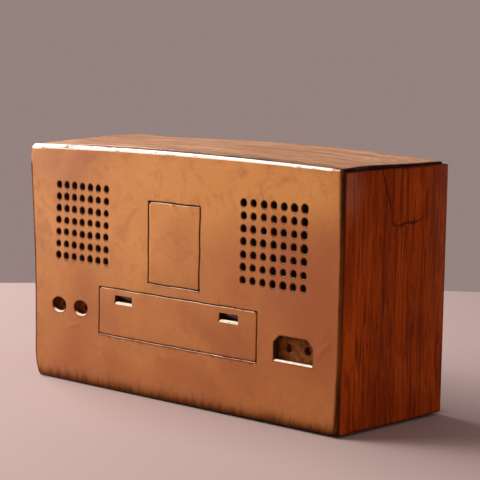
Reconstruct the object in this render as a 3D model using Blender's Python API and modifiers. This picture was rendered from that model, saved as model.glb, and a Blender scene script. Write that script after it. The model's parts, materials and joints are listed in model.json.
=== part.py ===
"""Portable radio in a wood cabinet with leather faces, modelled in metres.

The front faces -Y, the leather rear cover faces +Y, and the radio stands on z = 0.
Shapes are written in the cabinet's own frame: x = 0 in the middle of its width,
y = 0 in the middle of its depth. The empty "radio" then moves that frame so that the
origin lies under the centre of the whole object, knobs and catch included.
"""

import math

import bmesh
import bpy
from mathutils import Matrix, Vector

# Driving dimensions
WIDTH = 0.274
DEPTH = 0.1017
GAP = 0.0003
FOOT_HEIGHT = 0.0018
CORNER_HEIGHT = 0.1606
SIDE_TOP = 0.1590
FACE_CROWN = 0.0020
COVER_CROWN = 0.0035
COVER_EDGE = 0.0030
COVER_INSET = 0.0035

SIDE_THICK = 0.010
BOARD_THICK = 0.0098
LEATHER_THICK = 0.0018
REAR_THICK = 0.0050
FRONT_BOARD_THICK = 0.0080
KNOB_REACH = 0.016
CATCH_REACH = 0.0044

HALF = WIDTH / 2
REAR = DEPTH / 2
FRONT = -DEPTH / 2
REAR_INSIDE = REAR - REAR_THICK - GAP
LEATHER_BACK = REAR - LEATHER_THICK - GAP
BETWEEN_SIDES = HALF - SIDE_THICK - GAP
FRONT_INSIDE = FRONT + LEATHER_THICK + GAP + FRONT_BOARD_THICK
FLOOR = FOOT_HEIGHT + BOARD_THICK

# How far the rear leather's lower corners are worn in, left then right: across, then up
REAR_FEET = ((0.0040, 0.0240), (0.0060, 0.0190))
SIDE_FOOT = (0.0068, 0.0180)
# The rear leather's right edge leans out: (height, distance beyond the cabinet's half width)
REAR_LEAN = ((0.0300, -0.0021), (0.0600, -0.0018), (0.1000, 0.0001), (0.1300, 0.0023), (0.1500, 0.0035))
RIGHT_SIDE_INSET = 0.0010

# Rear vent arrays: columns and rows of punched holes
VENT_COUNT = 7
VENT_PITCH = 0.00804
VENT_HOLE = 0.00235
VENT_CENTRES = {"left": (-0.0830, 0.1113), "right": (0.0883, 0.1101)}
VENT_WINDOW = 0.0270
VENT_SIDES = 8

# Rear openings, as (low x, low z, high x, high z)
LABEL = (-0.0210, 0.0763, 0.0250, 0.1295)
DOOR = (-0.0706, 0.0375, 0.0708, 0.0687)
SCRIBE = 0.0005
LATCH_CENTRES = {"left": -0.0471, "right": 0.0477}
LATCH_SLOT = (0.0162, 0.0581, 0.0645)
JACK_CENTRES = {"left": (0.0893, 0.0518), "right": (0.1109, 0.0518)}
JACK_OVAL = (0.0070, 0.0053)
JACK_BLOCK = (0.0105, 0.0078)
INLET = (-0.1161, 0.0415, -0.0850, 0.0564)
INLET_CHAMFER = (0.0045, 0.0043)
INLET_PINS = (-0.1081, -0.0929)
INLET_PIN_Z = 0.0487

# Battery tray and its cells
CELL_RADIUS = 0.0130
CELL_LENGTH = 0.0490
CELL_ROWS = 2
TRAY_HALF = 0.0600
TRAY_LOW = 0.0390
TRAY_HIGH = 0.0677
TRAY_DEPTH = 0.0600
TRAY_WALL = 0.0018

# Front openings and controls
SPEAKER_X = 0.0855
SPEAKER_Z = 0.1040
SPEAKER_RADIUS = 0.0385
GRILLE_HALF = (0.0345, 0.0370)
SPEAKER_HOLE = 0.0335
DIAL_WINDOW = (-0.0360, 0.0950, 0.0360, 0.1270)
DIAL_CAVITY = (-0.0410, 0.0910, 0.0410, 0.1340)
CONTROL_Z = 0.0360
TUNING_SHAFT = 0.0027

# Dial drive: radii at which the cord runs, and the wheels it runs on
CORD_RADIUS = 0.0005
CORD_Y = FRONT + 0.0145
SPINDLE_RUN = 0.0035
DRUM_RUN = 0.0175
PULLEY_RUN = 0.0045
SPINDLE_AT = (0.0, CONTROL_Z)
DRUM_AT = (-0.0140, 0.0800)
PULLEY_AT = {"left": (-0.0420, 0.1245), "right": (0.0420, 0.1245)}

parts = bpy.data.collections.new("leather_portable_radio")
cutters = bpy.data.collections.new("cutters")
materials = {}

TO_FRONT = (math.radians(90), 0.0, 0.0)
TO_REAR = (math.radians(-90), 0.0, 0.0)
TO_RIGHT = (0.0, math.radians(90), 0.0)


def clear_scene():
    for obj in list(bpy.data.objects):
        bpy.data.objects.remove(obj, do_unlink=True)


def material(name, colour, roughness, metallic=0.0):
    made = bpy.data.materials.new(name)
    made.use_nodes = True
    shader = made.node_tree.nodes["Principled BSDF"]
    shader.inputs["Base Color"].default_value = (*colour, 1.0)
    shader.inputs["Roughness"].default_value = roughness
    shader.inputs["Metallic"].default_value = metallic
    materials[name] = made


def make_materials():
    material("leather", (0.48, 0.19, 0.06), 0.42)
    material("leather_maroon", (0.09, 0.02, 0.015), 0.35)
    material("wood", (0.19, 0.05, 0.015), 0.40)
    material("wood_top", (0.50, 0.27, 0.13), 0.40)
    material("wood_raw", (0.42, 0.27, 0.14), 0.70)
    material("cloth_black", (0.01, 0.01, 0.01), 0.95)
    material("cloth_grille", (0.30, 0.20, 0.10), 0.90)
    material("plastic_brown", (0.10, 0.045, 0.02), 0.35)
    material("plastic_black", (0.015, 0.015, 0.015), 0.45)
    material("brass", (0.75, 0.50, 0.20), 0.28, 1.0)
    material("steel", (0.60, 0.60, 0.60), 0.35, 1.0)
    material("cell_jacket", (0.45, 0.10, 0.05), 0.40)
    material("circuit", (0.25, 0.13, 0.04), 0.60)
    material("ferrite", (0.05, 0.05, 0.05), 0.50)
    material("paper", (0.04, 0.035, 0.03), 0.90)
    material("dial", (0.85, 0.78, 0.58), 0.50)
    material("glass", (0.90, 0.95, 0.95), 0.05)
    material("felt", (0.02, 0.02, 0.02), 1.0)
    material("copper", (0.60, 0.25, 0.10), 0.40, 1.0)


def put(obj, finish, pivot=None):
    """Adds a part to the object. A moving part's origin becomes pivot, a point on its joint's axis."""
    obj.data.materials.clear()
    obj.data.materials.append(materials[finish])
    if pivot is not None:
        point = Vector(pivot)
        obj.data.transform(Matrix.Translation(-point))
        obj.location = point
    parts.objects.link(obj)


def mesh_object(name, shape):
    mesh = bpy.data.meshes.new(name)
    shape.to_mesh(mesh)
    shape.free()
    return bpy.data.objects.new(name, mesh)


def box(name, low, high):
    shape = bmesh.new()
    bmesh.ops.create_cube(shape, size=1.0)
    size = Vector(high) - Vector(low)
    middle = (Vector(high) + Vector(low)) / 2
    bmesh.ops.scale(shape, vec=size, verts=shape.verts)
    bmesh.ops.translate(shape, vec=middle, verts=shape.verts)
    return mesh_object(name, shape)


def rods(name, centres, radius, y_low, y_high, sides=16):
    """Cylinders along Y, one at each (x, z) of centres."""
    shape = bmesh.new()
    for x, z in centres:
        lay = Matrix.Rotation(math.radians(90), 4, "X")
        bmesh.ops.create_cone(
            shape, cap_ends=True, segments=sides, radius1=radius, radius2=radius,
            depth=y_high - y_low, matrix=Matrix.Translation((x, (y_low + y_high) / 2, z)) @ lay,
        )
    return mesh_object(name, shape)


def plate(name, outline, y_low, y_high):
    """A flat piece: the outline's (x, z) points, filled and carried from y_low to y_high."""
    curve = bpy.data.curves.new(name, "CURVE")
    curve.dimensions = "2D"
    curve.fill_mode = "BOTH"
    curve.extrude = (y_high - y_low) / 2
    spline = curve.splines.new("POLY")
    spline.points.add(len(outline) - 1)
    for point, (x, z) in zip(spline.points, outline):
        point.co = (x, z, 0.0, 1.0)
    spline.use_cyclic_u = True
    flat = bpy.data.objects.new(name + "_outline", curve)
    flat.rotation_euler = TO_FRONT
    flat.location = (0.0, (y_low + y_high) / 2, 0.0)
    bpy.context.scene.collection.objects.link(flat)
    bpy.context.view_layer.update()
    graph = bpy.context.evaluated_depsgraph_get()
    mesh = bpy.data.meshes.new_from_object(flat.evaluated_get(graph))
    mesh.transform(flat.matrix_world)
    bpy.data.objects.remove(flat, do_unlink=True)
    shape = bmesh.new()
    shape.from_mesh(mesh)
    bpy.data.meshes.remove(mesh)
    bmesh.ops.remove_doubles(shape, verts=shape.verts, dist=0.00001)
    bmesh.ops.recalc_face_normals(shape, faces=shape.faces)
    return mesh_object(name, shape)


def turned(name, profile, finish, at, facing, steps=20):
    """A round piece: (radius, height) points, from the top down the outside, turned about its Z."""
    shape = bmesh.new()
    corners = [shape.verts.new((radius, 0.0, height)) for radius, height in profile]
    closed = profile[0][0] > 0
    for first, second in zip(corners, corners[1:]):
        shape.edges.new((first, second))
    if closed:
        shape.edges.new((corners[-1], corners[0]))
    obj = mesh_object(name, shape)
    screw = obj.modifiers.new("turn", "SCREW")
    screw.steps = steps
    screw.render_steps = steps
    screw.use_merge_vertices = True
    screw.merge_threshold = 0.00001
    put(obj, finish)
    obj.location = at
    obj.rotation_euler = facing


def join(obj, other, operation):
    """Cuts other from obj, or unites the two, at once."""
    for item in (obj, other):
        cutters.objects.link(item)
    modifier = obj.modifiers.new("join", "BOOLEAN")
    modifier.operation = operation
    modifier.object = other
    bpy.context.view_layer.update()
    graph = bpy.context.evaluated_depsgraph_get()
    result = bpy.data.meshes.new_from_object(obj.evaluated_get(graph))
    obj.modifiers.clear()
    obj.data = result
    bpy.data.objects.remove(other, do_unlink=True)
    cutters.objects.unlink(obj)


def cut(obj, *shapes):
    for shape in shapes:
        join(obj, shape, "DIFFERENCE")


def unite(obj, *shapes):
    for shape in shapes:
        join(obj, shape, "UNION")


def rectangle(low_x, low_z, high_x, high_z, grow=0.0):
    return [
        (low_x - grow, low_z - grow),
        (high_x + grow, low_z - grow),
        (high_x + grow, high_z + grow),
        (low_x - grow, high_z + grow),
    ]


def corner(centre, radii, start, steps=4):
    """A quarter of an ellipse about centre, from the angle start in degrees."""
    points = []
    for step in range(steps + 1):
        angle = math.radians(start + 90 * step / steps)
        points.append((centre[0] + radii[0] * math.cos(angle), centre[1] + radii[1] * math.sin(angle)))
    return points


def rounded(low_x, low_z, high_x, high_z, radius, steps=3):
    return (
        corner((high_x - radius, high_z - radius), (radius, radius), 0, steps)
        + corner((low_x + radius, high_z - radius), (radius, radius), 90, steps)
        + corner((low_x + radius, low_z + radius), (radius, radius), 180, steps)
        + corner((high_x - radius, low_z + radius), (radius, radius), 270, steps)
    )


def crown(x, half, edge, rise):
    return edge + rise * (1 - (x / half) ** 2)


def crowned_top(left, right, top, half, steps=8):
    """A crowned upper edge from right to left, with a softened corner at each end."""
    radius = 0.0030
    points = corner((right - radius, top - radius), (radius, radius), 0, 2)[:-1]
    for step in range(steps + 1):
        x = right - radius - (right - left - 2 * radius) * step / steps
        points.append((x, crown(x, half, top, FACE_CROWN)))
    points += corner((left + radius, top - radius), (radius, radius), 90, 2)[1:]
    return points


def rear_outline():
    """The rear leather: a crowned top, worn lower corners, and a right edge that leans out as it rises."""
    left_foot, right_foot = REAR_FEET
    low = FOOT_HEIGHT
    right_low = HALF + REAR_LEAN[0][1]
    points = crowned_top(-HALF, HALF + REAR_LEAN[-1][1], CORNER_HEIGHT, HALF)
    points += corner((-HALF + left_foot[0], low + left_foot[1]), left_foot, 180)
    points += corner((right_low - right_foot[0], low + right_foot[1]), right_foot, 270)
    points += [(HALF + out, height) for height, out in REAR_LEAN]
    return points


def front_outline():
    half = BETWEEN_SIDES
    return crowned_top(-half, half, SIDE_TOP, half) + [(-half, FOOT_HEIGHT), (half, FOOT_HEIGHT)]


def oval(centre, radii, sides=16):
    angles = [2 * math.pi * step / sides for step in range(sides)]
    return [(centre[0] + radii[0] * math.cos(a), centre[1] + radii[1] * math.sin(a)) for a in angles]


def inlet_outline(grow=0.0):
    low_x, low_z, high_x, high_z = INLET
    wide, high = INLET_CHAMFER
    return [
        (low_x - grow, low_z - grow),
        (high_x + grow, low_z - grow),
        (high_x + grow, high_z - high),
        (high_x - wide, high_z + grow),
        (low_x + wide, high_z + grow),
        (low_x - grow, high_z - high),
    ]


def vent_points(centre):
    half = (VENT_COUNT - 1) / 2
    steps = [(step - half) * VENT_PITCH for step in range(VENT_COUNT)]
    return [(centre[0] + across, centre[1] + up) for across in steps for up in steps]


# Cabinet


def cabinet_boards():
    inner = HALF - SIDE_THICK
    outer = HALF - RIGHT_SIDE_INSET
    put(box("side_board_left", (-HALF, FRONT, FOOT_HEIGHT), (-inner, LEATHER_BACK, SIDE_TOP)), "wood")
    outline = [(outer, SIDE_TOP), (inner, SIDE_TOP), (inner, FOOT_HEIGHT)]
    outline += corner((outer - SIDE_FOOT[0], FOOT_HEIGHT + SIDE_FOOT[1]), SIDE_FOOT, 270, 6)
    put(plate("side_board_right", outline, FRONT, LEATHER_BACK), "wood")
    reach = BETWEEN_SIDES
    for name, low, high in (
        ("top_board", SIDE_TOP - BOARD_THICK, SIDE_TOP),
        ("bottom_board", FOOT_HEIGHT, FLOOR),
    ):
        put(box(name, (-reach, FRONT_INSIDE + GAP, low), (reach, REAR_INSIDE, high)), "wood_raw")


def top_cover():
    half = HALF - COVER_INSET
    low = SIDE_TOP + GAP
    outline = [(-half, low), (half, low)]
    steps = 12
    for step in range(steps + 1):
        x = half * (1 - 2 * step / steps)
        outline.append((x, crown(x, half, SIDE_TOP + COVER_EDGE, COVER_CROWN)))
    put(plate("top_cover", outline, FRONT + COVER_INSET, LEATHER_BACK), "wood_top")


def front_face():
    leather = plate("front_leather", front_outline(), FRONT, FRONT + LEATHER_THICK)
    shafts = [(-SPEAKER_X, CONTROL_Z), (0.0, CONTROL_Z), (SPEAKER_X, CONTROL_Z)]
    past = (FRONT - 0.001, FRONT_INSIDE + 0.001)
    for sign in (-1, 1):
        middle = sign * SPEAKER_X
        window = rounded(
            middle - GRILLE_HALF[0], SPEAKER_Z - GRILLE_HALF[1],
            middle + GRILLE_HALF[0], SPEAKER_Z + GRILLE_HALF[1], 0.006,
        )
        cut(leather, plate("cutter", window, *past))
    cut(leather, plate("cutter", rounded(*DIAL_WINDOW, 0.003), *past))
    cut(leather, rods("cutter", shafts, TUNING_SHAFT + GAP, *past))
    put(leather, "leather")

    inner = HALF - SIDE_THICK - GAP
    board = box(
        "front_board",
        (-inner, FRONT + LEATHER_THICK + GAP, FOOT_HEIGHT),
        (inner, FRONT_INSIDE, SIDE_TOP),
    )
    cut(board, plate("cutter", rectangle(*DIAL_CAVITY), *past))
    speaker_centres = [(-SPEAKER_X, SPEAKER_Z), (SPEAKER_X, SPEAKER_Z)]
    cut(board, rods("cutter", speaker_centres, SPEAKER_HOLE, *past, sides=24))
    cut(board, rods("cutter", shafts, TUNING_SHAFT + GAP, *past))
    put(board, "wood_raw")

    for side, sign in (("left", -1), ("right", 1)):
        middle = sign * SPEAKER_X
        cloth = plate(
            "grille_cloth_" + side,
            rounded(
                middle - GRILLE_HALF[0] + GAP, SPEAKER_Z - GRILLE_HALF[1] + GAP,
                middle + GRILLE_HALF[0] - GAP, SPEAKER_Z + GRILLE_HALF[1] - GAP, 0.0058,
            ),
            FRONT + 0.0008, FRONT + LEATHER_THICK,
        )
        put(cloth, "cloth_grille")


def rear_cover():
    past = (REAR_INSIDE - 0.001, REAR + 0.001)
    leather = plate("rear_leather", rear_outline(), REAR - LEATHER_THICK, REAR)
    board_low = (-BETWEEN_SIDES, REAR - REAR_THICK, FOOT_HEIGHT)
    board = box("rear_board", board_low, (BETWEEN_SIDES, LEATHER_BACK, SIDE_TOP))
    for sheet in (leather, board):
        cut(sheet, plate("cutter", rectangle(*DOOR, grow=SCRIBE), *past))
        cut(sheet, plate("cutter", inlet_outline(), *past))
    for centre in JACK_CENTRES.values():
        cut(leather, plate("cutter", oval(centre, JACK_OVAL), *past))
    low, high = jack_block("left")[:2], jack_block("right")[2:]
    cut(board, plate("cutter", rectangle(*low, *high, grow=GAP), *past))
    cut(leather, plate("cutter", rectangle(*LABEL, grow=SCRIBE), *past))
    for x, z in VENT_CENTRES.values():
        cut(leather, rods("cutter", vent_points((x, z)), VENT_HOLE, *past, sides=VENT_SIDES))
        window = (x - VENT_WINDOW, z - VENT_WINDOW, x + VENT_WINDOW, z + VENT_WINDOW)
        cut(board, plate("cutter", rectangle(*window), *past))
    put(leather, "leather")
    put(board, "wood_raw")

    put(plate("label_inlay", rectangle(*LABEL), REAR - LEATHER_THICK, REAR - 0.0001), "leather")
    for side, (x, z) in VENT_CENTRES.items():
        half = VENT_WINDOW - GAP
        cloth = box(
            "vent_cloth_" + side,
            (x - half, REAR - REAR_THICK, z - half),
            (x + half, REAR - REAR_THICK + 0.0012, z + half),
        )
        put(cloth, "cloth_black")


def cover_catch():
    """The small catch on the cabinet's right edge that holds the rear cover, with its two studs."""
    edge = HALF - RIGHT_SIDE_INSET + GAP
    face = HALF + 0.0021
    low = (edge, REAR - 0.0102, 0.1265)
    high = (face, REAR - 0.0026, 0.1450)
    put(box("cover_catch", low, high), "leather_maroon")
    radius = 0.0020
    rise = HALF + CATCH_REACH - face - GAP
    profile = [(0.0, rise), (radius * 0.6, rise * 0.85), (radius, rise * 0.35), (radius, 0.0), (0.0, 0.0)]
    for name, z in (("catch_stud_lower", 0.1298), ("catch_stud_upper", 0.1417)):
        turned(name, profile, "brass", (face + GAP, REAR - 0.0046, z), TO_RIGHT, 12)


def foot_runners():
    for side, sign in (("left", -1), ("right", 1)):
        x = sign * 0.112
        strip = box(
            "foot_runner_" + side,
            (x - 0.006, FRONT + 0.014, 0.0),
            (x + 0.006, REAR - 0.014, FOOT_HEIGHT - GAP),
        )
        put(strip, "felt")


# Battery door, tray and cells


def battery_door():
    hinge = (0.0, REAR, DOOR[1])
    layers = (
        ("door_leather", REAR - LEATHER_THICK, REAR - 0.0001, "leather"),
        ("door_board", REAR - REAR_THICK, LEATHER_BACK, "wood_raw"),
    )
    wide, low, high = LATCH_SLOT
    for name, y_low, y_high, finish in layers:
        layer = plate(name, rectangle(*DOOR), y_low, y_high)
        for x in LATCH_CENTRES.values():
            slot = rectangle(x - wide / 2, low, x + wide / 2, high)
            cut(layer, plate("cutter", slot, y_low - 0.001, y_high + 0.001))
        put(layer, finish, hinge)
    for side, x in LATCH_CENTRES.items():
        back = REAR_INSIDE - 0.0016
        slide = box(
            "door_latch_" + side,
            (x - 0.0105, back, low - 0.0030),
            (x + 0.0105, REAR_INSIDE, high + 0.0032),
        )
        ridge = box(
            "ridge",
            (x - wide / 2 + 0.0010, back + 0.0004, high - 0.0018),
            (x + wide / 2 - 0.0010, REAR_INSIDE + 0.0022, high - GAP),
        )
        unite(slide, ridge)
        put(slide, "plastic_brown", (x, REAR_INSIDE, high))


def battery_tray():
    wall = TRAY_WALL
    rim_half = 0.0760
    rim_depth = 0.0030
    back = REAR_INSIDE - TRAY_DEPTH
    tray = box(
        "battery_tray",
        (-TRAY_HALF - wall, back, TRAY_LOW - wall),
        (TRAY_HALF + wall, REAR_INSIDE - 0.0010, TRAY_HIGH + wall),
    )
    rim_low = (-rim_half, REAR_INSIDE - rim_depth - wall, 0.0340)
    rim = box("rim", rim_low, (rim_half, REAR_INSIDE, 0.0735))
    unite(tray, rim)
    bay = box(
        "cutter",
        (DOOR[0] - SCRIBE, REAR_INSIDE - rim_depth, DOOR[1] - SCRIBE),
        (DOOR[2] + SCRIBE, REAR_INSIDE + 0.001, DOOR[3] + SCRIBE),
    )
    hollow = box(
        "cutter",
        (-TRAY_HALF, back + wall, TRAY_LOW),
        (TRAY_HALF, REAR_INSIDE + 0.001, TRAY_HIGH),
    )
    cut(tray, bay, hollow)
    put(tray, "plastic_black")

    middle = (TRAY_LOW + TRAY_HIGH) / 2
    pitch = 2 * CELL_RADIUS + 0.0008
    first = back + wall + CELL_RADIUS + 0.0005
    nub = 0.0030
    shoulder = 0.0020
    cell = [
        (0.0, CELL_LENGTH), (nub, CELL_LENGTH), (nub, CELL_LENGTH - shoulder),
        (CELL_RADIUS, CELL_LENGTH - shoulder), (CELL_RADIUS, 0.0), (0.0, 0.0),
    ]
    number = 0
    for row in range(CELL_ROWS):
        for start in (-CELL_LENGTH - GAP, GAP):
            number += 1
            at = (start, first + row * pitch, middle)
            turned("battery_%d" % number, cell, "cell_jacket", at, TO_RIGHT, 16)
    for side, sign in (("left", -1), ("right", 1)):
        wall_x = sign * (TRAY_HALF - GAP)
        inner_x = sign * (TRAY_HALF - GAP - 0.0012)
        contact = box(
            "battery_contact_" + side,
            (min(wall_x, inner_x), back + wall + 0.001, TRAY_LOW + 0.002),
            (max(wall_x, inner_x), back + wall + 0.001 + 2 * pitch, TRAY_HIGH - 0.002),
        )
        reach = TRAY_HALF - CELL_LENGTH - 3 * GAP
        for row in range(CELL_ROWS):
            spring = bmesh.new()
            place = Matrix.Translation(
                (sign * (TRAY_HALF - 0.001 - reach / 2), first + row * pitch, middle)
            ) @ Matrix.Rotation(sign * math.radians(-90), 4, "Y")
            bmesh.ops.create_cone(
                spring, cap_ends=True, segments=10, radius1=0.0060, radius2=0.0035,
                depth=reach - 0.001, matrix=place,
            )
            unite(contact, mesh_object("spring", spring))
        put(contact, "steel")


# Sockets


def jack_block(side):
    """A jack socket's front, as low x, low z, high x and high z."""
    x, z = JACK_CENTRES[side]
    wide, high = JACK_BLOCK
    return (x - wide, z - high, x + wide, z + high)


def jack_sockets():
    """Each socket fills its half of the rear board's cut-out: an oval cup with the plug's bore in it."""
    flange = 0.0012
    barrel = 0.0040
    barrel_depth = 0.0140
    bore = 0.0018
    bore_depth = 0.0120
    front = LEATHER_BACK
    for side, centre in JACK_CENTRES.items():
        socket = plate("jack_socket_" + side, rectangle(*jack_block(side)), REAR_INSIDE - flange, front)
        cut(socket, plate("cutter", oval(centre, JACK_OVAL), REAR_INSIDE, front + 0.001))
        seat = REAR_INSIDE - flange / 2
        unite(socket, rods("barrel", [centre], barrel, REAR_INSIDE - barrel_depth, seat))
        cut(socket, rods("cutter", [centre], bore, REAR_INSIDE - bore_depth, front))
        put(socket, "plastic_brown")


def mains_inlet():
    low_x, low_z, high_x, high_z = INLET
    edge = 0.0028
    body_depth = 0.0160
    socket = box(
        "mains_inlet",
        (low_x - edge, REAR_INSIDE - body_depth, low_z - edge),
        (high_x + edge, REAR_INSIDE, high_z + edge),
    )
    holes = [(x, INLET_PIN_Z) for x in INLET_PINS]
    cut(socket, rods("cutter", holes, 0.00275, REAR_INSIDE - 0.0130, REAR_INSIDE + 0.001))
    put(socket, "plastic_brown")
    for number, x in enumerate(INLET_PINS, 1):
        pin = rods(
            "inlet_pin_%d" % number, [(x, INLET_PIN_Z)], 0.0012,
            REAR_INSIDE - 0.0130 + GAP, REAR_INSIDE - 0.0025, sides=10,
        )
        put(pin, "brass")


# Works inside the cabinet


def transformer():
    x, y, z = (-0.1000, -0.0030, FLOOR + GAP + 0.0170)

    def block(name, half_x, half_y, half_z):
        return box(name, (x - half_x, y - half_y, z - half_z), (x + half_x, y + half_y, z + half_z))

    core = block("transformer_core", 0.0200, 0.0080, 0.0170)
    for sign in (-1, 1):
        near, far = sorted((sign * 0.004, sign * 0.012))
        cut(core, box("cutter", (x + near, y - 0.010, z - 0.009), (x + far, y + 0.010, z + 0.009)))
    put(core, "steel")
    coil = block("transformer_coil", 0.0117, 0.0130, 0.0087)
    cut(coil, block("cutter", 0.0043, 0.0083, 0.0100))
    put(coil, "copper")


def circuit_board():
    """A board with three tuning cans and two tall capacitors in a row along its middle."""
    z = 0.0780
    seat = z + 0.0008
    row_y = 0.0160
    sheet = box("circuit_board", (-0.052, -0.0060, z), (0.052, 0.0360, z + 0.0016))
    for x, wide, tall in ((-0.036, 0.012, 0.014), (-0.014, 0.010, 0.011), (0.006, 0.010, 0.011)):
        half = wide / 2
        unite(sheet, box("can", (x - half, row_y - half, seat), (x + half, row_y + half, z + tall)))
    for x, tall in ((0.026, 0.020), (0.040, 0.026)):
        can = bmesh.new()
        bmesh.ops.create_cone(
            can, cap_ends=True, segments=12, radius1=0.005, radius2=0.005,
            depth=tall, matrix=Matrix.Translation((x, row_y, seat + tall / 2)),
        )
        unite(sheet, mesh_object("can", can))
    put(sheet, "circuit")


def ferrite_aerial():
    half = 0.0700
    rod = 0.0048
    coil = 0.0066
    profile = [
        (0.0, half), (rod, half), (rod, 0.052), (coil, 0.052), (coil, 0.024),
        (rod, 0.024), (rod, -half), (0.0, -half),
    ]
    turned("ferrite_aerial", profile, "ferrite", (0.0, 0.0250, 0.1390), TO_RIGHT, 14)


def speakers():
    seat = FRONT_INSIDE + GAP
    rim = SPEAKER_RADIUS
    ring = 0.0345
    basket = [
        (rim, 0.0), (rim, -0.0015), (ring, -0.0015), (0.0190, -0.0180),
        (0.0080, -0.0180), (0.0080, -0.0165), (0.0182, -0.0165), (ring - 0.0015, 0.0),
    ]
    cone = [
        (0.0, -0.0110), (0.0090, -0.0130), (0.0310, -0.0004),
        (0.0318, -0.0012), (0.0100, -0.0142), (0.0, -0.0142),
    ]
    magnet = [(0.0, 0.0), (0.0190, 0.0), (0.0190, -0.0120), (0.0, -0.0120)]
    for side, sign in (("left", -1), ("right", 1)):
        x = sign * SPEAKER_X
        turned("speaker_basket_" + side, basket, "steel", (x, seat, SPEAKER_Z), TO_FRONT, 24)
        turned("speaker_cone_" + side, cone, "paper", (x, seat, SPEAKER_Z), TO_FRONT, 24)
        back = seat + 0.0180 + GAP
        turned("speaker_magnet_" + side, magnet, "ferrite", (x, back, SPEAKER_Z), TO_FRONT, 20)


# Dial and controls


def dial():
    low_x, low_z, high_x, high_z = DIAL_CAVITY
    glass = box(
        "dial_window",
        (low_x + GAP, FRONT + LEATHER_THICK + GAP, low_z + GAP),
        (high_x - GAP, FRONT + LEATHER_THICK + GAP + 0.0015, high_z - GAP),
    )
    put(glass, "glass")
    scale = box(
        "dial_scale",
        (low_x + GAP, FRONT + 0.0085, low_z + GAP),
        (high_x - GAP, FRONT + 0.0095, 0.1278),
    )
    put(scale, "dial")
    blade = box("dial_pointer", (-0.0005, FRONT + 0.0060, 0.0962), (0.0005, FRONT + 0.0068, 0.1320))
    arm = box("arm", (-0.0015, FRONT + 0.0062, 0.1300), (0.0015, FRONT + 0.0160, 0.1322))
    unite(blade, arm)
    put(blade, "brass", (0.0, CORD_Y, 0.1290))


def belt(wheels, steps=8):
    """Points of a cord pulled round wheels, each (x, z, radius), taken anticlockwise about the loop."""
    points = []
    count = len(wheels)
    angles = []
    for index in range(count):
        x, z, radius = wheels[index]
        next_x, next_z, next_radius = wheels[(index + 1) % count]
        run = math.hypot(next_x - x, next_z - z)
        heading = math.atan2(next_z - z, next_x - x)
        angles.append(heading - math.acos((radius - next_radius) / run))
    for index in range(count):
        x, z, radius = wheels[index]
        start = angles[index - 1]
        sweep = (angles[index] - start) % (2 * math.pi)
        for step in range(steps + 1):
            angle = start + sweep * step / steps
            points.append((x + radius * math.cos(angle), z + radius * math.sin(angle)))
    return points


def dial_cord():
    wheels = [
        (*SPINDLE_AT, SPINDLE_RUN),
        (*PULLEY_AT["right"], PULLEY_RUN),
        (*PULLEY_AT["left"], PULLEY_RUN),
        (*DRUM_AT, DRUM_RUN),
    ]
    route = belt(wheels)
    curve = bpy.data.curves.new("dial_cord", "CURVE")
    curve.dimensions = "3D"
    curve.bevel_depth = CORD_RADIUS
    curve.bevel_resolution = 1
    spline = curve.splines.new("POLY")
    spline.points.add(len(route) - 1)
    for point, (x, z) in zip(spline.points, route):
        point.co = (x, CORD_Y, z, 1.0)
    spline.use_cyclic_u = True
    put(bpy.data.objects.new("dial_cord", curve), "cloth_black")


def dial_wheels():
    half = 0.0018
    clear = CORD_RADIUS + GAP
    groove = DRUM_RUN - clear
    rim = DRUM_RUN + 0.0012
    shaft_end = -0.0200
    drum = [
        (0.0, half), (rim, half), (groove, half * 0.4), (groove, -half * 0.4), (rim, -half),
        (0.0030, -half), (0.0030, shaft_end), (0.0, shaft_end),
    ]
    turned("dial_drum", drum, "plastic_brown", (DRUM_AT[0], CORD_Y, DRUM_AT[1]), TO_FRONT, 24)
    bore = 0.0018
    groove = PULLEY_RUN - clear
    rim = PULLEY_RUN + 0.0008
    pulley = [
        (bore, half), (rim, half), (groove, half * 0.4),
        (groove, -half * 0.4), (rim, -half), (bore, -half),
    ]
    for side, (x, z) in PULLEY_AT.items():
        turned("dial_pulley_" + side, pulley, "brass", (x, CORD_Y, z), TO_FRONT, 14)
        pin = rods(
            "pulley_pin_" + side, [(x, z)], bore - 0.00015,
            FRONT_INSIDE + GAP, CORD_Y + half + 0.001, sides=10,
        )
        put(pin, "steel")


def tuning_capacitor():
    x, z = DRUM_AT
    front = CORD_Y + 0.0030
    back = front + 0.0195
    frame = box("tuning_capacitor", (x - 0.016, front, z - 0.009), (x + 0.016, back, z + 0.015))
    cut(frame, rods("cutter", [DRUM_AT], 0.0034, front - 0.001, CORD_Y + 0.0210))
    put(frame, "steel")


def knob(name, x, radius, shaft_end):
    """A turned control knob in one piece with its shaft, which ends shaft_end behind the front face."""
    reach = KNOB_REACH
    face = -0.0010
    profile = [
        (0.0, reach - 0.0010), (radius * 0.72, reach - 0.0010), (radius * 0.80, reach),
        (radius * 0.88, reach - 0.0006), (radius * 0.94, 0.0045), (radius, 0.0030),
        (radius, -face), (TUNING_SHAFT, -face), (TUNING_SHAFT, -shaft_end), (0.0, -shaft_end),
    ]
    turned(name, profile, "plastic_brown", (x, FRONT, CONTROL_Z), TO_FRONT, 20)


def controls():
    knob("tuning_knob", 0.0, 0.0170, 0.0175)
    body_depth = 0.0110
    socket_depth = 0.0036
    shaft_grip = 0.0030
    start = FRONT_INSIDE + GAP
    for use, body, x in (("volume", "volume_control", SPEAKER_X), ("band", "band_switch", -SPEAKER_X)):
        knob(use + "_knob", x, 0.0120, start - FRONT + shaft_grip)
        at = [(x, CONTROL_Z)]
        case = rods(body, at, 0.0100, start, start + body_depth)
        cut(case, rods("cutter", at, TUNING_SHAFT + GAP, start - 0.001, start + socket_depth))
        put(case, "steel")


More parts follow.
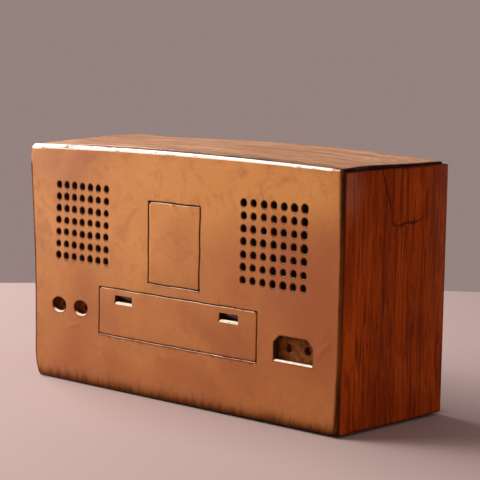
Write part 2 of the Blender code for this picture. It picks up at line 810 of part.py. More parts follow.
def build():
    clear_scene()
    bpy.context.scene.collection.children.link(parts)
    bpy.context.scene.collection.children.link(cutters)
    make_materials()
    cabinet_boards()
    top_cover()
    front_face()
    rear_cover()
    cover_catch()
    foot_runners()
    battery_door()
    battery_tray()
    jack_sockets()
    mains_inlet()
    transformer()
    circuit_board()
    ferrite_aerial()
    speakers()
    dial()
    dial_cord()
    dial_wheels()
    tuning_capacitor()
    controls()
    radio = bpy.data.objects.new("radio", None)
    radio.location = (-CATCH_REACH / 2, KNOB_REACH / 2, 0.0)
    for obj in parts.objects:
        obj.parent = radio
        if obj.type == "MESH":
            obj.data.shade_smooth()
            obj.data.set_sharp_from_angle(angle=math.radians(35))
    parts.objects.link(radio)


build()
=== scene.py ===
"""The looks of the leather portable radio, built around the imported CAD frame.

Units are metres, in the CAD's own frame: the leather rear cover faces +Y, the front faces -Y.
"""

import json
import math

import bmesh
import bpy
import numpy as np
from mathutils import Matrix, Vector


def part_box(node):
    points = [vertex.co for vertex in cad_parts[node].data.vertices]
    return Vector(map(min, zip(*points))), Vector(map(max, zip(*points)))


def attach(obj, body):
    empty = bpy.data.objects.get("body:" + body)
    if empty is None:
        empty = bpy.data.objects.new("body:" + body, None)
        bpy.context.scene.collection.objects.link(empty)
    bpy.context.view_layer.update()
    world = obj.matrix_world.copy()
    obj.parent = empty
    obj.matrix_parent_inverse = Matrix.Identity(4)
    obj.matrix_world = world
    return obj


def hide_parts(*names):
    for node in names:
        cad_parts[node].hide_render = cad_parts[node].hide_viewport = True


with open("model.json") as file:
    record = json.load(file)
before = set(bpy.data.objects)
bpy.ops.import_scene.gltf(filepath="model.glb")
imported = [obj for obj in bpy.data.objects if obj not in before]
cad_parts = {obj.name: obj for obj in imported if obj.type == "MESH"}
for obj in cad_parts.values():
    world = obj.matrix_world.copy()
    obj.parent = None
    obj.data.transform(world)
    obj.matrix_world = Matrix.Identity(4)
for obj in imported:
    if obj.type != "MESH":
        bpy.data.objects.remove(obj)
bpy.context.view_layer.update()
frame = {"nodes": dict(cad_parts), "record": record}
nodes = frame["nodes"]

MM = 0.001

HALF_WIDTH = 137 * MM
MIDDLE_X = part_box("side_board_left")[0].x + HALF_WIDTH
REAR_LOW, REAR_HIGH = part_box("rear_leather")
REAR_Y = REAR_HIGH.y
FRONT_LOW, FRONT_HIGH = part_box("front_leather")
FRONT_Y = FRONT_LOW.y
FOOT_Z = REAR_LOW.z
CROWN = 2 * MM
CORNER_Z = REAR_HIGH.z - CROWN
FRONT_HALF = FRONT_HIGH.x - MIDDLE_X
FRONT_CORNER_Z = FRONT_HIGH.z - CROWN


# Material helpers


def new_material(name):
    made = bpy.data.materials.new(name)
    made.use_nodes = True
    tree = made.node_tree
    tree.nodes.clear()
    output = tree.nodes.new("ShaderNodeOutputMaterial")
    shader = tree.nodes.new("ShaderNodeBsdfPrincipled")
    tree.links.new(shader.outputs["BSDF"], output.inputs["Surface"])
    return made, tree, shader


def node(tree, kind, **settings):
    made = tree.nodes.new(kind)
    for key, value in settings.items():
        setattr(made, key, value)
    return made


def feed(tree, socket, value):
    if hasattr(value, "is_output"):
        tree.links.new(value, socket)
    else:
        socket.default_value = value


def set_inputs(made, **values):
    for socket, value in values.items():
        made.inputs[socket.replace("_", " ")].default_value = value


def stretched(tree, scale=(1.0, 1.0, 1.0)):
    """Object coordinates scaled along each axis, so a pattern is finer across the grain than along it."""
    place = node(tree, "ShaderNodeTexCoord")
    mapping = node(tree, "ShaderNodeMapping")
    mapping.inputs["Scale"].default_value = scale
    tree.links.new(place.outputs["Object"], mapping.inputs["Vector"])
    return mapping.outputs["Vector"]


def noise(tree, vector, scale, detail=3.0, roughness=0.55, distortion=0.0):
    made = node(tree, "ShaderNodeTexNoise")
    feed(tree, made.inputs["Vector"], vector)
    set_inputs(made, Scale=scale, Detail=detail, Roughness=roughness, Distortion=distortion)
    return made.outputs["Fac"]


def span(tree, value, low, high, to_low=0.0, to_high=1.0):
    made = node(tree, "ShaderNodeMapRange", interpolation_type="SMOOTHSTEP")
    feed(tree, made.inputs["Value"], value)
    set_inputs(made, From_Min=low, From_Max=high, To_Min=to_low, To_Max=to_high)
    return made.outputs["Result"]


def maths(tree, operation, first, second):
    made = node(tree, "ShaderNodeMath", operation=operation)
    feed(tree, made.inputs[0], first)
    feed(tree, made.inputs[1], second)
    return made.outputs["Value"]


def add(tree, first, second):
    return maths(tree, "ADD", first, second)


def times(tree, first, second):
    return maths(tree, "MULTIPLY", first, second)


def mix(tree, factor, first, second, blend="MIX"):
    made = node(tree, "ShaderNodeMix", data_type="RGBA", blend_type=blend)
    feed(tree, made.inputs["Factor"], factor)
    colours = [socket for socket in made.inputs if socket.type == "RGBA"]
    for socket, value in zip(colours, (first, second)):
        feed(tree, socket, (*value, 1.0) if isinstance(value, tuple) else value)
    return next(socket for socket in made.outputs if socket.type == "RGBA")


def bump(tree, shader, height, distance, strength):
    made = node(tree, "ShaderNodeBump")
    set_inputs(made, Strength=strength, Distance=distance)
    feed(tree, made.inputs["Height"], height)
    tree.links.new(made.outputs["Normal"], shader.inputs["Normal"])


def attribute(tree, name):
    made = node(tree, "ShaderNodeAttribute", attribute_name=name)
    return made.outputs["Fac"]


HIDE = (0.86, 0.66, 0.47)
# The near-white of the painted highlight along the rear leather's top lip.
PAINTED_HIGHLIGHT = (1.0, 0.93, 0.85)


def leather_material(name, light, deep, burnt):
    """Waxed leather: mottled dye with painted light, grain, dark burnish by its edges, raw hide on cut lips,
    and painted highlights on the upward-facing lips and along the top lip.
    """
    made, tree, shader = new_material(name)
    plain = stretched(tree)
    cloud = noise(tree, plain, 16.0, 3.0, 0.5, 0.6)
    stain = noise(tree, plain, 55.0, 5.0, 0.62, 1.2)
    streak = noise(tree, stretched(tree, (1.0, 1.0, 0.3)), 190.0, 4.0, 0.6)
    grain = noise(tree, plain, 1500.0, 2.0, 0.5)
    pores = node(tree, "ShaderNodeTexVoronoi", feature="DISTANCE_TO_EDGE")
    feed(tree, pores.inputs["Vector"], plain)
    pores.inputs["Scale"].default_value = 820.0
    # The tone attribute mixes painted light into the dye's mottling: lighter where the face is lit, with a
    # painted sheen band along the top.
    mood = add(tree, times(tree, cloud, 0.9), attribute(tree, "tone"))
    dye = mix(tree, span(tree, mood, 0.45, 1.35), deep, light)
    dye = mix(tree, span(tree, stain, 0.46, 0.74, 0.0, 0.5), dye, deep)
    dye = mix(tree, span(tree, grain, 0.3, 0.62, 0.16, 0.0), dye, burnt)
    burnish = attribute(tree, "burnish")
    edge = add(tree, burnish, span(tree, streak, 0.35, 0.75, -0.1, 0.08))
    burn = times(tree, span(tree, edge, 0.22, 1.0), span(tree, burnish, 0.0, 0.2))
    dye = mix(tree, burn, dye, burnt)
    # Raw hide on the upward-facing lips: cut hide, and a painted highlight where these lips catch the light.
    raw_and_highlight = attribute(tree, "raw")
    patchy = add(tree, raw_and_highlight, span(tree, stain, 0.3, 0.8, 0.1, -0.2))
    raw = span(tree, patchy, 0.35, 0.75)
    dye = mix(tree, raw, dye, HIDE)
    # A painted near-white highlight along the top lip, broken by dark slits of cracked hide.
    patchy = add(tree, raw_and_highlight, span(tree, streak, 0.3, 0.8, 0.15, -0.45))
    worn = span(tree, patchy, 0.9, 1.3)
    slit = span(tree, noise(tree, stretched(tree, (0.12, 1.0, 1.0)), 700.0, 2.0, 0.5), 0.58, 0.64, 0.0, 0.75)
    dye = mix(tree, worn, dye, mix(tree, slit, PAINTED_HIGHLIGHT, burnt))
    tree.links.new(dye, shader.inputs["Base Color"])
    gloss = span(tree, stain, 0.25, 0.8, 0.28, 0.42)
    gloss = add(tree, gloss, times(tree, raw, 0.3))
    tree.links.new(gloss, shader.inputs["Roughness"])
    tree.links.new(span(tree, burn, 0.0, 0.8, 0.42, 0.06), shader.inputs["Specular IOR Level"])
    tree.links.new(span(tree, burn, 0.0, 0.6, 0.3, 0.0), shader.inputs["Coat Weight"])
    shader.inputs["Coat Roughness"].default_value = 0.16
    pits = span(tree, pores.outputs["Distance"], 0.0, 0.25)
    height = add(tree, times(tree, grain, 0.35), pits)
    height = add(tree, height, times(tree, stain, 1.6))
    bump(tree, shader, height, 0.00006, 0.8)
    return made


def wood_material(name, dark, mid, light, along, burnt, gloss=0.36, shine=0.3, wander=0.01):
    """Stained wood. along is the grain's axis, X_AXIS or Z_AXIS; wander is how far its lines stray."""
    made, tree, shader = new_material(name)
    drift = noise(tree, stretched(tree, (9.0, 9.0, 9.0)), 1.0, 2.0, 0.5)
    bent = node(tree, "ShaderNodeVectorMath", operation="MULTIPLY_ADD")
    feed(tree, bent.inputs[0], drift)
    bent.inputs[1].default_value = (wander, wander, 0.0) if along == Z_AXIS else (0.0, wander, wander)
    tree.links.new(stretched(tree), bent.inputs[2])

    def fibres(across, lengthwise):
        scale = [across] * 3
        scale[along] = lengthwise
        drawn = node(tree, "ShaderNodeVectorMath", operation="MULTIPLY")
        tree.links.new(bent.outputs["Vector"], drawn.inputs[0])
        drawn.inputs[1].default_value = tuple(scale)
        return drawn.outputs["Vector"]

    figure = noise(tree, fibres(60.0, 7.0), 1.0, 4.0, 0.62, 0.4)
    line = noise(tree, fibres(380.0, 8.0), 1.0, 2.0, 0.6, 0.3)
    pore = noise(tree, fibres(1100.0, 60.0), 1.0, 2.0, 0.6)
    patch = noise(tree, fibres(22.0, 16.0), 1.0, 4.0, 0.6, 0.5)
    stain = mix(tree, span(tree, figure, 0.32, 0.66), dark, mid)
    stain = mix(tree, span(tree, patch, 0.42, 0.74, 0.0, 0.7), stain, light)
    stain = mix(tree, span(tree, patch, 0.46, 0.3, 0.0, 0.6), stain, dark)
    stain = mix(tree, span(tree, line, 0.48, 0.6, 0.0, 0.8), stain, dark)
    stain = mix(tree, span(tree, line, 0.54, 0.66, 0.0, 0.32), stain, burnt)
    stain = mix(tree, span(tree, pore, 0.54, 0.66, 0.0, 0.6), stain, burnt)
    burnish = attribute(tree, "burnish")
    edge = add(tree, burnish, span(tree, figure, 0.3, 0.7, -0.22, 0.18))
    burn = times(tree, span(tree, edge, 0.18, 0.95), span(tree, burnish, 0.0, 0.15))
    stain = mix(tree, burn, stain, burnt)
    # Painted sheen: the tone attribute greys the colour where the surface would catch a reflection, and
    # raises its specular.
    painted_sheen = span(tree, attribute(tree, "tone"), 0.0, 1.0)
    stain = mix(tree, times(tree, painted_sheen, 0.1), stain, (0.42, 0.27, 0.2))
    tree.links.new(stain, shader.inputs["Base Color"])
    tree.links.new(span(tree, line, 0.3, 0.8, gloss, gloss + 0.16), shader.inputs["Roughness"])
    sheen = add(tree, span(tree, burn, 0.0, 0.8, shine, 0.03), times(tree, painted_sheen, 0.28))
    tree.links.new(sheen, shader.inputs["Specular IOR Level"])
    height = add(tree, line, times(tree, pore, -0.9))
    bump(tree, shader, height, 0.00008, 0.8)
    return made


def plain_material(name, colour, darker, roughness, metallic=0.0, scale=220.0, relief=0.00002, **fixed):
    """A moulded, plated or painted surface: a mottled colour, uneven gloss and a slight relief."""
    made, tree, shader = new_material(name)
    spread = stretched(tree)
    cloud = noise(tree, spread, scale, 4.0, 0.6)
    fine = noise(tree, spread, scale * 9.0, 2.0, 0.5)
    tree.links.new(mix(tree, span(tree, cloud, 0.35, 0.7), darker, colour), shader.inputs["Base Color"])
    tree.links.new(span(tree, fine, 0.3, 0.7, roughness * 0.8, roughness * 1.2), shader.inputs["Roughness"])
    set_inputs(shader, Metallic=metallic, **fixed)
    bump(tree, shader, add(tree, cloud, fine), relief, 0.6)
    return made


def weave_material(name, warp_colour, weft_colour, pitch, relief):
    """Cloth woven at the given pitch, its threads along X and Z."""
    made, tree, shader = new_material(name)
    spread = stretched(tree)
    threads = []
    for direction in ("X", "Z"):
        wave = node(tree, "ShaderNodeTexWave", bands_direction=direction, wave_profile="SIN")
        feed(tree, wave.inputs["Vector"], spread)
        set_inputs(wave, Scale=math.pi / (10.0 * pitch), Distortion=0.6, Detail=1.0, Detail_Scale=3.0)
        threads.append(wave.outputs["Fac"])
    over = node(tree, "ShaderNodeTexChecker")
    feed(tree, over.inputs["Vector"], spread)
    over.inputs["Scale"].default_value = 1.0 / pitch
    fuzz = noise(tree, spread, 900.0, 3.0, 0.6)
    raised = maths(tree, "MAXIMUM", threads[0], threads[1])
    colour = mix(tree, over.outputs["Fac"], warp_colour, weft_colour)
    colour = mix(tree, span(tree, raised, 0.15, 0.85, 0.75, 0.0), colour, (0.012, 0.009, 0.006))
    colour = mix(tree, span(tree, fuzz, 0.35, 0.7, 0.25, 0.0), colour, (0.03, 0.02, 0.012))
    tree.links.new(colour, shader.inputs["Base Color"])
    set_inputs(shader, Roughness=0.85, Sheen_Weight=0.25)
    bump(tree, shader, add(tree, raised, times(tree, fuzz, 0.3)), relief, 0.9)
    return made


X_AXIS = 0
Z_AXIS = 2
TAN = (0.66, 0.266, 0.048)
RUSSET = (0.36, 0.09, 0.006)
BURNT = (0.045, 0.01, 0.002)

materials = {
    "leather": leather_material("waxed_leather", TAN, RUSSET, BURNT),
    "wood": wood_material(
        "stained_wood", (0.24, 0.03, 0.001), (0.46, 0.066, 0.002), (0.52, 0.088, 0.004), Z_AXIS,
        (0.07, 0.008, 0.001), shine=0.04, wander=0.016,
    ),
    # The top's wood: lighter and greyer than the sides' wood, partly the same stained wood with a painted
    # sheen of the light across the top.
    "wood_top": wood_material(
        "top_wood", (0.38, 0.165, 0.07), (0.6, 0.3, 0.15), (0.72, 0.4, 0.23), X_AXIS,
        (0.022, 0.01, 0.007), 0.32,
    ),
    "wood_raw": wood_material(
        "inner_board", (0.3, 0.18, 0.09), (0.46, 0.31, 0.17), (0.56, 0.4, 0.24), X_AXIS,
        (0.14, 0.08, 0.04), 0.6,
    ),
    "board_edge": wood_material(
        "burnished_board", (0.028, 0.008, 0.004), (0.06, 0.018, 0.008), (0.085, 0.026, 0.012), X_AXIS,
        (0.01, 0.004, 0.003), 0.5,
    ),
    "leather_maroon": leather_material(
        "maroon_leather", (0.11, 0.022, 0.014), (0.06, 0.012, 0.008), (0.012, 0.004, 0.003)
    ),
    "cloth_black": plain_material("black_scrim", (0.006, 0.006, 0.006), (0.002, 0.002, 0.002), 0.9),
    "cloth_grille": weave_material(
        "grille_weave", (0.42, 0.29, 0.15), (0.23, 0.135, 0.06), 1.1 * MM, 0.2 * MM
    ),
    "plastic_brown": plain_material(
        "bakelite", (0.075, 0.026, 0.012), (0.032, 0.011, 0.006), 0.22, scale=90.0, Coat_Weight=0.4
    ),
    "socket_floor": plain_material(
        "socket_floor", (0.3, 0.095, 0.022), (0.15, 0.042, 0.01), 0.8, scale=260.0, Specular_IOR_Level=0.1
    ),
    "plastic_black": plain_material("black_plastic", (0.022, 0.021, 0.02), (0.012, 0.012, 0.012), 0.42),
    "brass": plain_material("brass", (0.86, 0.6, 0.26), (0.64, 0.4, 0.15), 0.2, 1.0),
    "aged_brass": plain_material("aged_brass", (0.22, 0.095, 0.03), (0.12, 0.05, 0.016), 0.45, 0.8),
    "steel": plain_material("plated_steel", (0.64, 0.64, 0.62), (0.46, 0.46, 0.45), 0.32, 1.0),
    "cell_jacket": plain_material(
        "cell_jacket", (0.42, 0.06, 0.03), (0.3, 0.04, 0.02), 0.3, Coat_Weight=0.3
    ),
    "circuit": plain_material("paper_laminate", (0.3, 0.16, 0.05), (0.2, 0.1, 0.03), 0.5),
    "ferrite": plain_material("ferrite", (0.045, 0.044, 0.043), (0.025, 0.025, 0.025), 0.55),
    "paper": plain_material("pressed_paper", (0.03, 0.027, 0.024), (0.014, 0.013, 0.012), 0.92, scale=500.0),
    "dial": plain_material("dial_cream", (0.8, 0.69, 0.44), (0.7, 0.58, 0.35), 0.45, scale=60.0),
    "ink": plain_material("dial_ink", (0.05, 0.02, 0.012), (0.03, 0.012, 0.008), 0.6),
    "felt": plain_material(
        "felt", (0.014, 0.013, 0.013), (0.006, 0.006, 0.006), 0.95, scale=700.0, relief=0.1 * MM
    ),
    "copper": plain_material("winding", (0.56, 0.22, 0.08), (0.36, 0.13, 0.05), 0.35, 0.8, scale=400.0),
    "glass": plain_material(
        "dial_glass", (0.96, 0.97, 0.965), (0.93, 0.945, 0.94), 0.04, scale=40.0, relief=0.000004,
        Transmission_Weight=1.0,
    ),
}


def finish(obj, material):
    obj.data.materials.clear()
    obj.data.materials.append(materials[material])


def present(obj, body, material, *replaced, slot=None):
    """Puts a new piece in the scene: its material, the body it rides on and the CAD nodes it stands for."""
    if not obj.users_collection:
        bpy.context.scene.collection.objects.link(obj)
    finish(obj, material)
    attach(obj, body)
    if replaced:
        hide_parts(*replaced)
    return obj


def object_from(shape, name):
    mesh = bpy.data.meshes.new(name)
    shape.to_mesh(mesh)
    shape.free()
    return bpy.data.objects.new(name, mesh)


def smooth(obj, angle=40.0):
    obj.data.shade_smooth()
    obj.data.set_sharp_from_angle(angle=math.radians(angle))


# Sheets: a gridded panel with shaped openings, rounded lips and closed walls
#
# A sheet lies in a plane with coordinates u and v, and w is its outward direction. Its outline and
# openings are distance functions: metres from the edge, positive on the material.


def unit(value):
    return np.clip(value, 0.0, 1.0)


def strongest(*marks):
    return unit(np.maximum.reduce(marks))


def band(low, high, value):
    return (high - low) * value + low


def hole_circle(u0, v0, radius_u, radius_v=None):
    radius_v = radius_v or radius_u

    def distance(u, v):
        a = (u - u0) / radius_u
        b = (v - v0) / radius_v
        k = np.hypot(a, b)
        steep = np.hypot(a / radius_u, b / radius_v)
        return k * (k - 1.0) / np.maximum(steep, 1e-9)

    return distance


def hole_box(low_u, low_v, high_u, high_v, radius=0.0, wave=0.0, phase=0.0):
    """A rectangular hole, its corners rounded and its sides drawn by hand when wave is not 0."""

    def distance(u, v):
        shift = wave * np.sin(u * 190.0 + phase) + wave * np.sin(v * 240.0 + phase * 2.0)
        a = np.abs(u - (low_u + high_u) / 2) - (high_u - low_u) / 2 + radius
        b = np.abs(v - (low_v + high_v) / 2) - (high_v - low_v) / 2 + radius
        outside = np.hypot(np.maximum(a, 0.0), np.maximum(b, 0.0))
        return outside + np.minimum(np.maximum(a, b), 0.0) - radius + shift

    return distance


def inside(shape):
    return lambda u, v: -shape(u, v)


LEAN_HEIGHTS = np.array((30.0, 60.0, 84.0, 101.0, 117.0, 134.0, 150.0)) * MM
LEAN_OUT = np.array((-0.6, -0.3, 0.5, 1.5, 2.6, 4.0, 5.3)) * MM


def lean(v):
    """How far the rear leather's +X edge stands out beyond the cabinet's half width."""
    return np.interp(v, LEAN_HEIGHTS, LEAN_OUT)


def foot_line(u):
    """The rear leather's lower edge, which hangs lower toward +X."""
    return FOOT_Z - 1.6 * MM * unit(0.5 + u / (2 * HALF_WIDTH))


def rear_edge(u, v):
    """Distance inside the rear leather: crowned top, softened corners, lower corners worn in."""

    def worn(across, up):
        fall = unit((foot_line(u) + up - v) / up)
        return across * (1.0 - np.sqrt(1.0 - 0.999 * fall**2))

    corner = 4.5 * MM
    rise = unit((v - (CORNER_Z - corner)) / corner)
    shoulder = 0.8 * corner * (1.0 - np.sqrt(1.0 - 0.98 * rise**2))
    left = u + HALF_WIDTH - worn(4 * MM, 24 * MM) - shoulder
    right = HALF_WIDTH + lean(v) - u - worn(7 * MM, 21 * MM) - shoulder
    top = CORNER_Z + CROWN * (1.0 - (u / HALF_WIDTH) ** 2) - v
    return np.minimum(np.minimum(left, right), np.minimum(top, v - foot_line(u)))


def rear_lip(u, v):
    """The rounding is broad along the top, more so toward +X, and tighter down the sides and foot."""
    high = unit((v - CORNER_Z + 9 * MM) / (6 * MM))
    toward = unit(0.5 + u / (2 * HALF_WIDTH))
    side = unit((u - HALF_WIDTH + 9 * MM) / (6 * MM))
    return (1.5 + 0.9 * side + high * (0.15 + 1.85 * toward)) * MM


def front_edge(u, v):
    top = FRONT_CORNER_Z + CROWN * (1.0 - (u / FRONT_HALF) ** 2) - v
    return np.minimum(FRONT_HALF - np.abs(u), np.minimum(top, v - FOOT_Z))


def around(place, reach):
    return place - reach, place + reach


def lines(low, high, coarse, fine, zones):
    """Grid lines from low to high: coarse, and fine inside the zones."""
    made = [low]
    while made[-1] < high:
        here = made[-1]
        dense = any(start - coarse / 2 <= here <= end for start, end in zones)
        made.append(here + (fine if dense else coarse))
    return np.array(made)


SLOPE_STEP = 1e-5
ROUND_STEPS = 4


def nearest_edge(edges):
    """A function of u, v that gives the distance to the nearest edge's lip, which edge, and its lip."""

    def field(u, v):
        best = np.full(u.shape, np.inf)
        owner = np.zeros(u.shape, int)
        lips = np.zeros(u.shape)
        for index, (distance, lip, low_lip, _) in enumerate(edges):
            here = distance(u, v)
            reach = lip(u, v) if callable(lip) else np.full(u.shape, lip)
            if low_lip:
                fall = (distance(u, v + SLOPE_STEP) - here) / SLOPE_STEP
                reach = reach + low_lip * unit(-fall * 1.15) ** 2
            gap = here - reach
            closer = gap < best
            best = np.where(closer, gap, best)
            owner = np.where(closer, index, owner)
            lips = np.where(closer, reach, lips)
        return best, owner, lips

    return field


def edge_slope(field, u, v):
    """The direction away from the nearest edge, and how fast the field grows along it."""
    right = field(u + SLOPE_STEP, v)[0] - field(u - SLOPE_STEP, v)[0]
    up = field(u, v + SLOPE_STEP)[0] - field(u, v - SLOPE_STEP)[0]
    size = np.maximum(np.hypot(right, up), 1e-12)
    return right / size, up / size, size / (2 * SLOPE_STEP)


def snapped_grid(field, u_lines, v_lines):
    """A grid whose points near an edge are moved onto it. Gives each point's place and edge data."""
    grid_u, grid_v = np.meshgrid(u_lines, v_lines, indexing="ij")
    distance, owner, lips = field(grid_u, grid_v)
    cell_u = np.gradient(u_lines)[:, None] * np.ones_like(grid_u)
    cell_v = np.gradient(v_lines)[None, :] * np.ones_like(grid_v)
    du, dv, size = edge_slope(field, grid_u, grid_v)
    reach = np.abs(du) * cell_u + np.abs(dv) * cell_v
    near = np.abs(distance) / np.maximum(size, 0.2) < 0.56 * reach
    for _ in range(3):
        move = np.where(near, distance / np.maximum(size, 0.2), 0.0)
        move = np.clip(move, -0.7 * reach, 0.7 * reach)
        grid_u = grid_u - du * move
        grid_v = grid_v - dv * move
        distance, owner, lips = field(grid_u, grid_v)
        du, dv, size = edge_slope(field, grid_u, grid_v)
    flat = [values.reshape(-1) for values in (grid_u, grid_v, distance, owner, lips, du, dv)]
    return flat, (distance > 0) | near


def grid_faces(solid):
    """Quads where all four corners are solid, triangles where three are."""
    index = np.arange(solid.size).reshape(solid.shape)
    corners = np.stack([index[:-1, :-1], index[1:, :-1], index[1:, 1:], index[:-1, 1:]], axis=-1)
    corners = corners.reshape(-1, 4)
    kept = solid.reshape(-1)[corners]
    faces = [tuple(face) for face in corners[kept.all(axis=1)]]
    for face, inside_here in zip(corners[kept.sum(axis=1) == 3], kept[kept.sum(axis=1) == 3]):
        faces.append(tuple(face[inside_here]))
    return faces


def closed_object(name, points, marks, faces, place):
    """An object from points in u, v, w: its marks become vertex attributes and its back is filled in."""
    shape = bmesh.new()
    layers = {key: shape.verts.layers.float.new(key) for key in marks}
    values = {key: np.concatenate(parts) for key, parts in marks.items()}
    made = [shape.verts.new(place(*point)) for point in np.concatenate(points)]
    for key, layer in layers.items():
        for vert, value in zip(made, values[key]):
            vert[layer] = float(value)
    for face in faces:
        shape.faces.new([made[point] for point in face])
    shape.verts.ensure_lookup_table()
    open_edges = [edge for edge in shape.edges if edge.is_boundary]
    bmesh.ops.triangle_fill(shape, edges=open_edges, use_beauty=False, use_dissolve=False)
    bmesh.ops.recalc_face_normals(shape, faces=shape.faces)
    obj = object_from(shape, name)
    smooth(obj, 50.0)
    return obj


def sheet(name, u_lines, v_lines, edges, thickness, place, relief=None, burn=None, tone=None, paint_top_highlight=False):
    """Builds a closed sheet. Its outline comes first in edges, then its openings.

    edges are (distance, lip, low_lip, raw): lip is the rounding, low_lip what is added to it where the
    edge faces up, and raw how much raw hide shows on the upward-facing lip, partly a painted highlight.
    The top-highlight flag paints a near-white highlight along the outline's top lip and leaves its
    rounding undarkened. The vertex attributes for burnish with painted shade, raw hide with highlight,
    and tone with painted light drive the material.
    """
    flat, solid = snapped_grid(nearest_edge(edges), u_lines, v_lines)
    flat_u, flat_v, distance, owner, lips, du, dv = flat
    faces = grid_faces(solid)
    sides = dict.fromkeys(pair for face in faces for pair in zip(face, face[1:] + face[:1]))
    rim = [pair for pair in sides if (pair[1], pair[0]) not in sides]
    rim_points = sorted({point for pair in rim for point in pair})
    rank = {point: order for order, point in enumerate(rim_points)}
    used = sorted({point for face in faces for point in face})
    new_index = {point: order for order, point in enumerate(used)}
    faces = [tuple(new_index[point] for point in face) for face in faces]

    u, v = flat_u[used], flat_v[used]
    height = relief(u, v) if relief else np.zeros(len(u))
    burnish = burn(u, v, np.maximum(distance[used], 0.0)) if burn else np.zeros(len(u))
    shade = tone(u, v) if tone else np.zeros(len(u))
    points = [np.stack([u, v, height], axis=1)]
    marks = {"burnish": [burnish], "raw": [np.zeros(len(u))], "tone": [shade]}

    ends = np.array(rim_points)
    none = np.zeros(len(ends))
    end_u, end_v = flat_u[ends], flat_v[ends]
    out_u, out_v = -du[ends], -dv[ends]
    end_lip = lips[ends]
    end_height = relief(end_u, end_v) if relief else none
    end_burn = burn(end_u, end_v, none) if burn else none
    raw_and_highlight = np.array([edges[index][3] for index in owner[ends]])
    # Raw hide on the upward-facing lips, partly a painted highlight where they catch the light.
    lit_raw_lip = raw_and_highlight * unit(out_v * 2.2 - 0.9)
    # A painted near-white highlight along the outline's top lip, faded out near the low-u end.
    top_lip_highlight = 2.0 * paint_top_highlight * (owner[ends] == 0) * unit(out_v * 3.0 - 1.6)
    top_lip_highlight = top_lip_highlight * unit((end_u - u_lines[0] - 8 * MM) / (5 * MM))
    loops = [[new_index[point] for point in rim_points]]
    total = len(u)
    for ring in range(1, ROUND_STEPS + 3):
        turn = min(ring / ROUND_STEPS, 1.0) * math.pi / 2
        across = end_lip * math.sin(turn)
        drop = np.minimum(end_lip, thickness * 0.9) * (1.0 - math.cos(turn))
        depth = end_height - drop
        if ring == ROUND_STEPS + 1:
            depth = (depth - thickness) / 2
        if ring == ROUND_STEPS + 2:
            depth = np.full(len(ends), -thickness)
        points.append(np.stack([end_u + out_u * across, end_v + out_v * across, depth], axis=1))
        wall = ring > ROUND_STEPS
        dark = unit(end_burn + (0.35 * ring / ROUND_STEPS if wall or not paint_top_highlight else 0.0))
        marks["burnish"].append(dark * (1.0 - lit_raw_lip * (not wall)))
        marks["raw"].append(none if wall else np.maximum(lit_raw_lip, top_lip_highlight))
        marks["tone"].append(none)
        loops.append(list(range(total, total + len(ends))))
        total += len(ends)
    rim_ranks = [(rank[first], rank[second]) for first, second in rim]
    for inner, outer in zip(loops, loops[1:]):
        faces += [(inner[b], inner[a], outer[a], outer[b]) for a, b in rim_ranks]
    return closed_object(name, points, marks, faces, place)


def waves(seed, count, longest, shortest, size):
    """A gentle hand-formed unevenness: a sum of seeded waves, in metres."""
    draw = np.random.default_rng(seed)
    terms = []
    for _ in range(count):
        angle = draw.uniform(0, math.pi)
        length = draw.uniform(shortest, longest)
        phase, weight = draw.uniform(0, 6.3), draw.uniform(0.4, 1.0)
        terms.append((math.cos(angle) / length, math.sin(angle) / length, phase, weight))

    def height(u, v):
        total = np.zeros(np.shape(u))
        for a, b, phase, weight in terms:
            total = total + weight * np.sin(2 * math.pi * (a * u + b * v) + phase)
        return total * size / math.sqrt(count)

    return height


def rear_place(u, v, w):
    return (MIDDLE_X + u, REAR_Y - 0.12 * MM + w, v)


def front_place(u, v, w):
    return (MIDDLE_X - u, FRONT_Y + 0.12 * MM - w, v)


uneven = waves(3, 14, 0.12, 0.03, 0.16 * MM)


def off_line(u, v, start, end):
    """The distance to a straight line, and how far along it the nearest point is, from 0 to 1."""
    along_u, along_v = end[0] - start[0], end[1] - start[1]
    t = unit(((u - start[0]) * along_u + (v - start[1]) * along_v) / (along_u**2 + along_v**2))
    return np.hypot(u - start[0] - t * along_u, v - start[1] - t * along_v), t


def ridge(u, v, start, end, width, size):
    """A crease along a short straight line."""
    off, t = off_line(u, v, start, end)
    return size * np.exp(-((off / width) ** 2)) * np.sin(math.pi * np.clip(t, 0.02, 0.98))


def local_box(name):
    """A CAD node's box on the rear sheet, as low u, low v, high u, high v."""
    low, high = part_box(name)
    return low.x - MIDDLE_X, low.z, high.x - MIDDLE_X, high.z


def local_middle(name):
    """The middle of a CAD node's box on the rear sheet, as u, v."""
    low_u, low_v, high_u, high_v = local_box(name)
    return (low_u + high_u) / 2, (low_v + high_v) / 2


LABEL = local_box("label_inlay")
DOOR = local_box("door_leather")
LINE = 0.36 * MM
DOOR_WAVE = (0.1 * MM, 1.0)
LABEL_WAVE = (0.16 * MM, 3.0)
# The last member is raw hide on the upward-facing lip, partly a painted highlight.
SCRIBED_LIP = (0.22 * MM, 0.25 * MM, 0.6)
SHEET_THICK = 1.6 * MM
INLET = (-116.1 * MM, 41.5 * MM, -85 * MM, 56.4 * MM)
INLET_CUT = 4.4 * MM
JACKS = [local_middle("jack_socket_left"), local_middle("jack_socket_right")]
LATCHES = [local_middle("door_latch_left")[0], local_middle("door_latch_right")[0]]
VENTS = [local_middle("vent_cloth_left"), local_middle("vent_cloth_right")]
VENT_COUNT = 7
VENT_PITCH = 8.04 * MM
VENT_RADIUS = 2.18 * MM
VENT_STRETCH = (1.024, 0.965)
WORN_VENTS = {
    (0, 6): 1.16, (0, 5): 1.14, (0, 4): 1.1, (0, 3): 1.12,
    (1, 6): 1.12, (3, 1): 1.14, (2, 0): 1.14, (6, 6): 1.08,
}


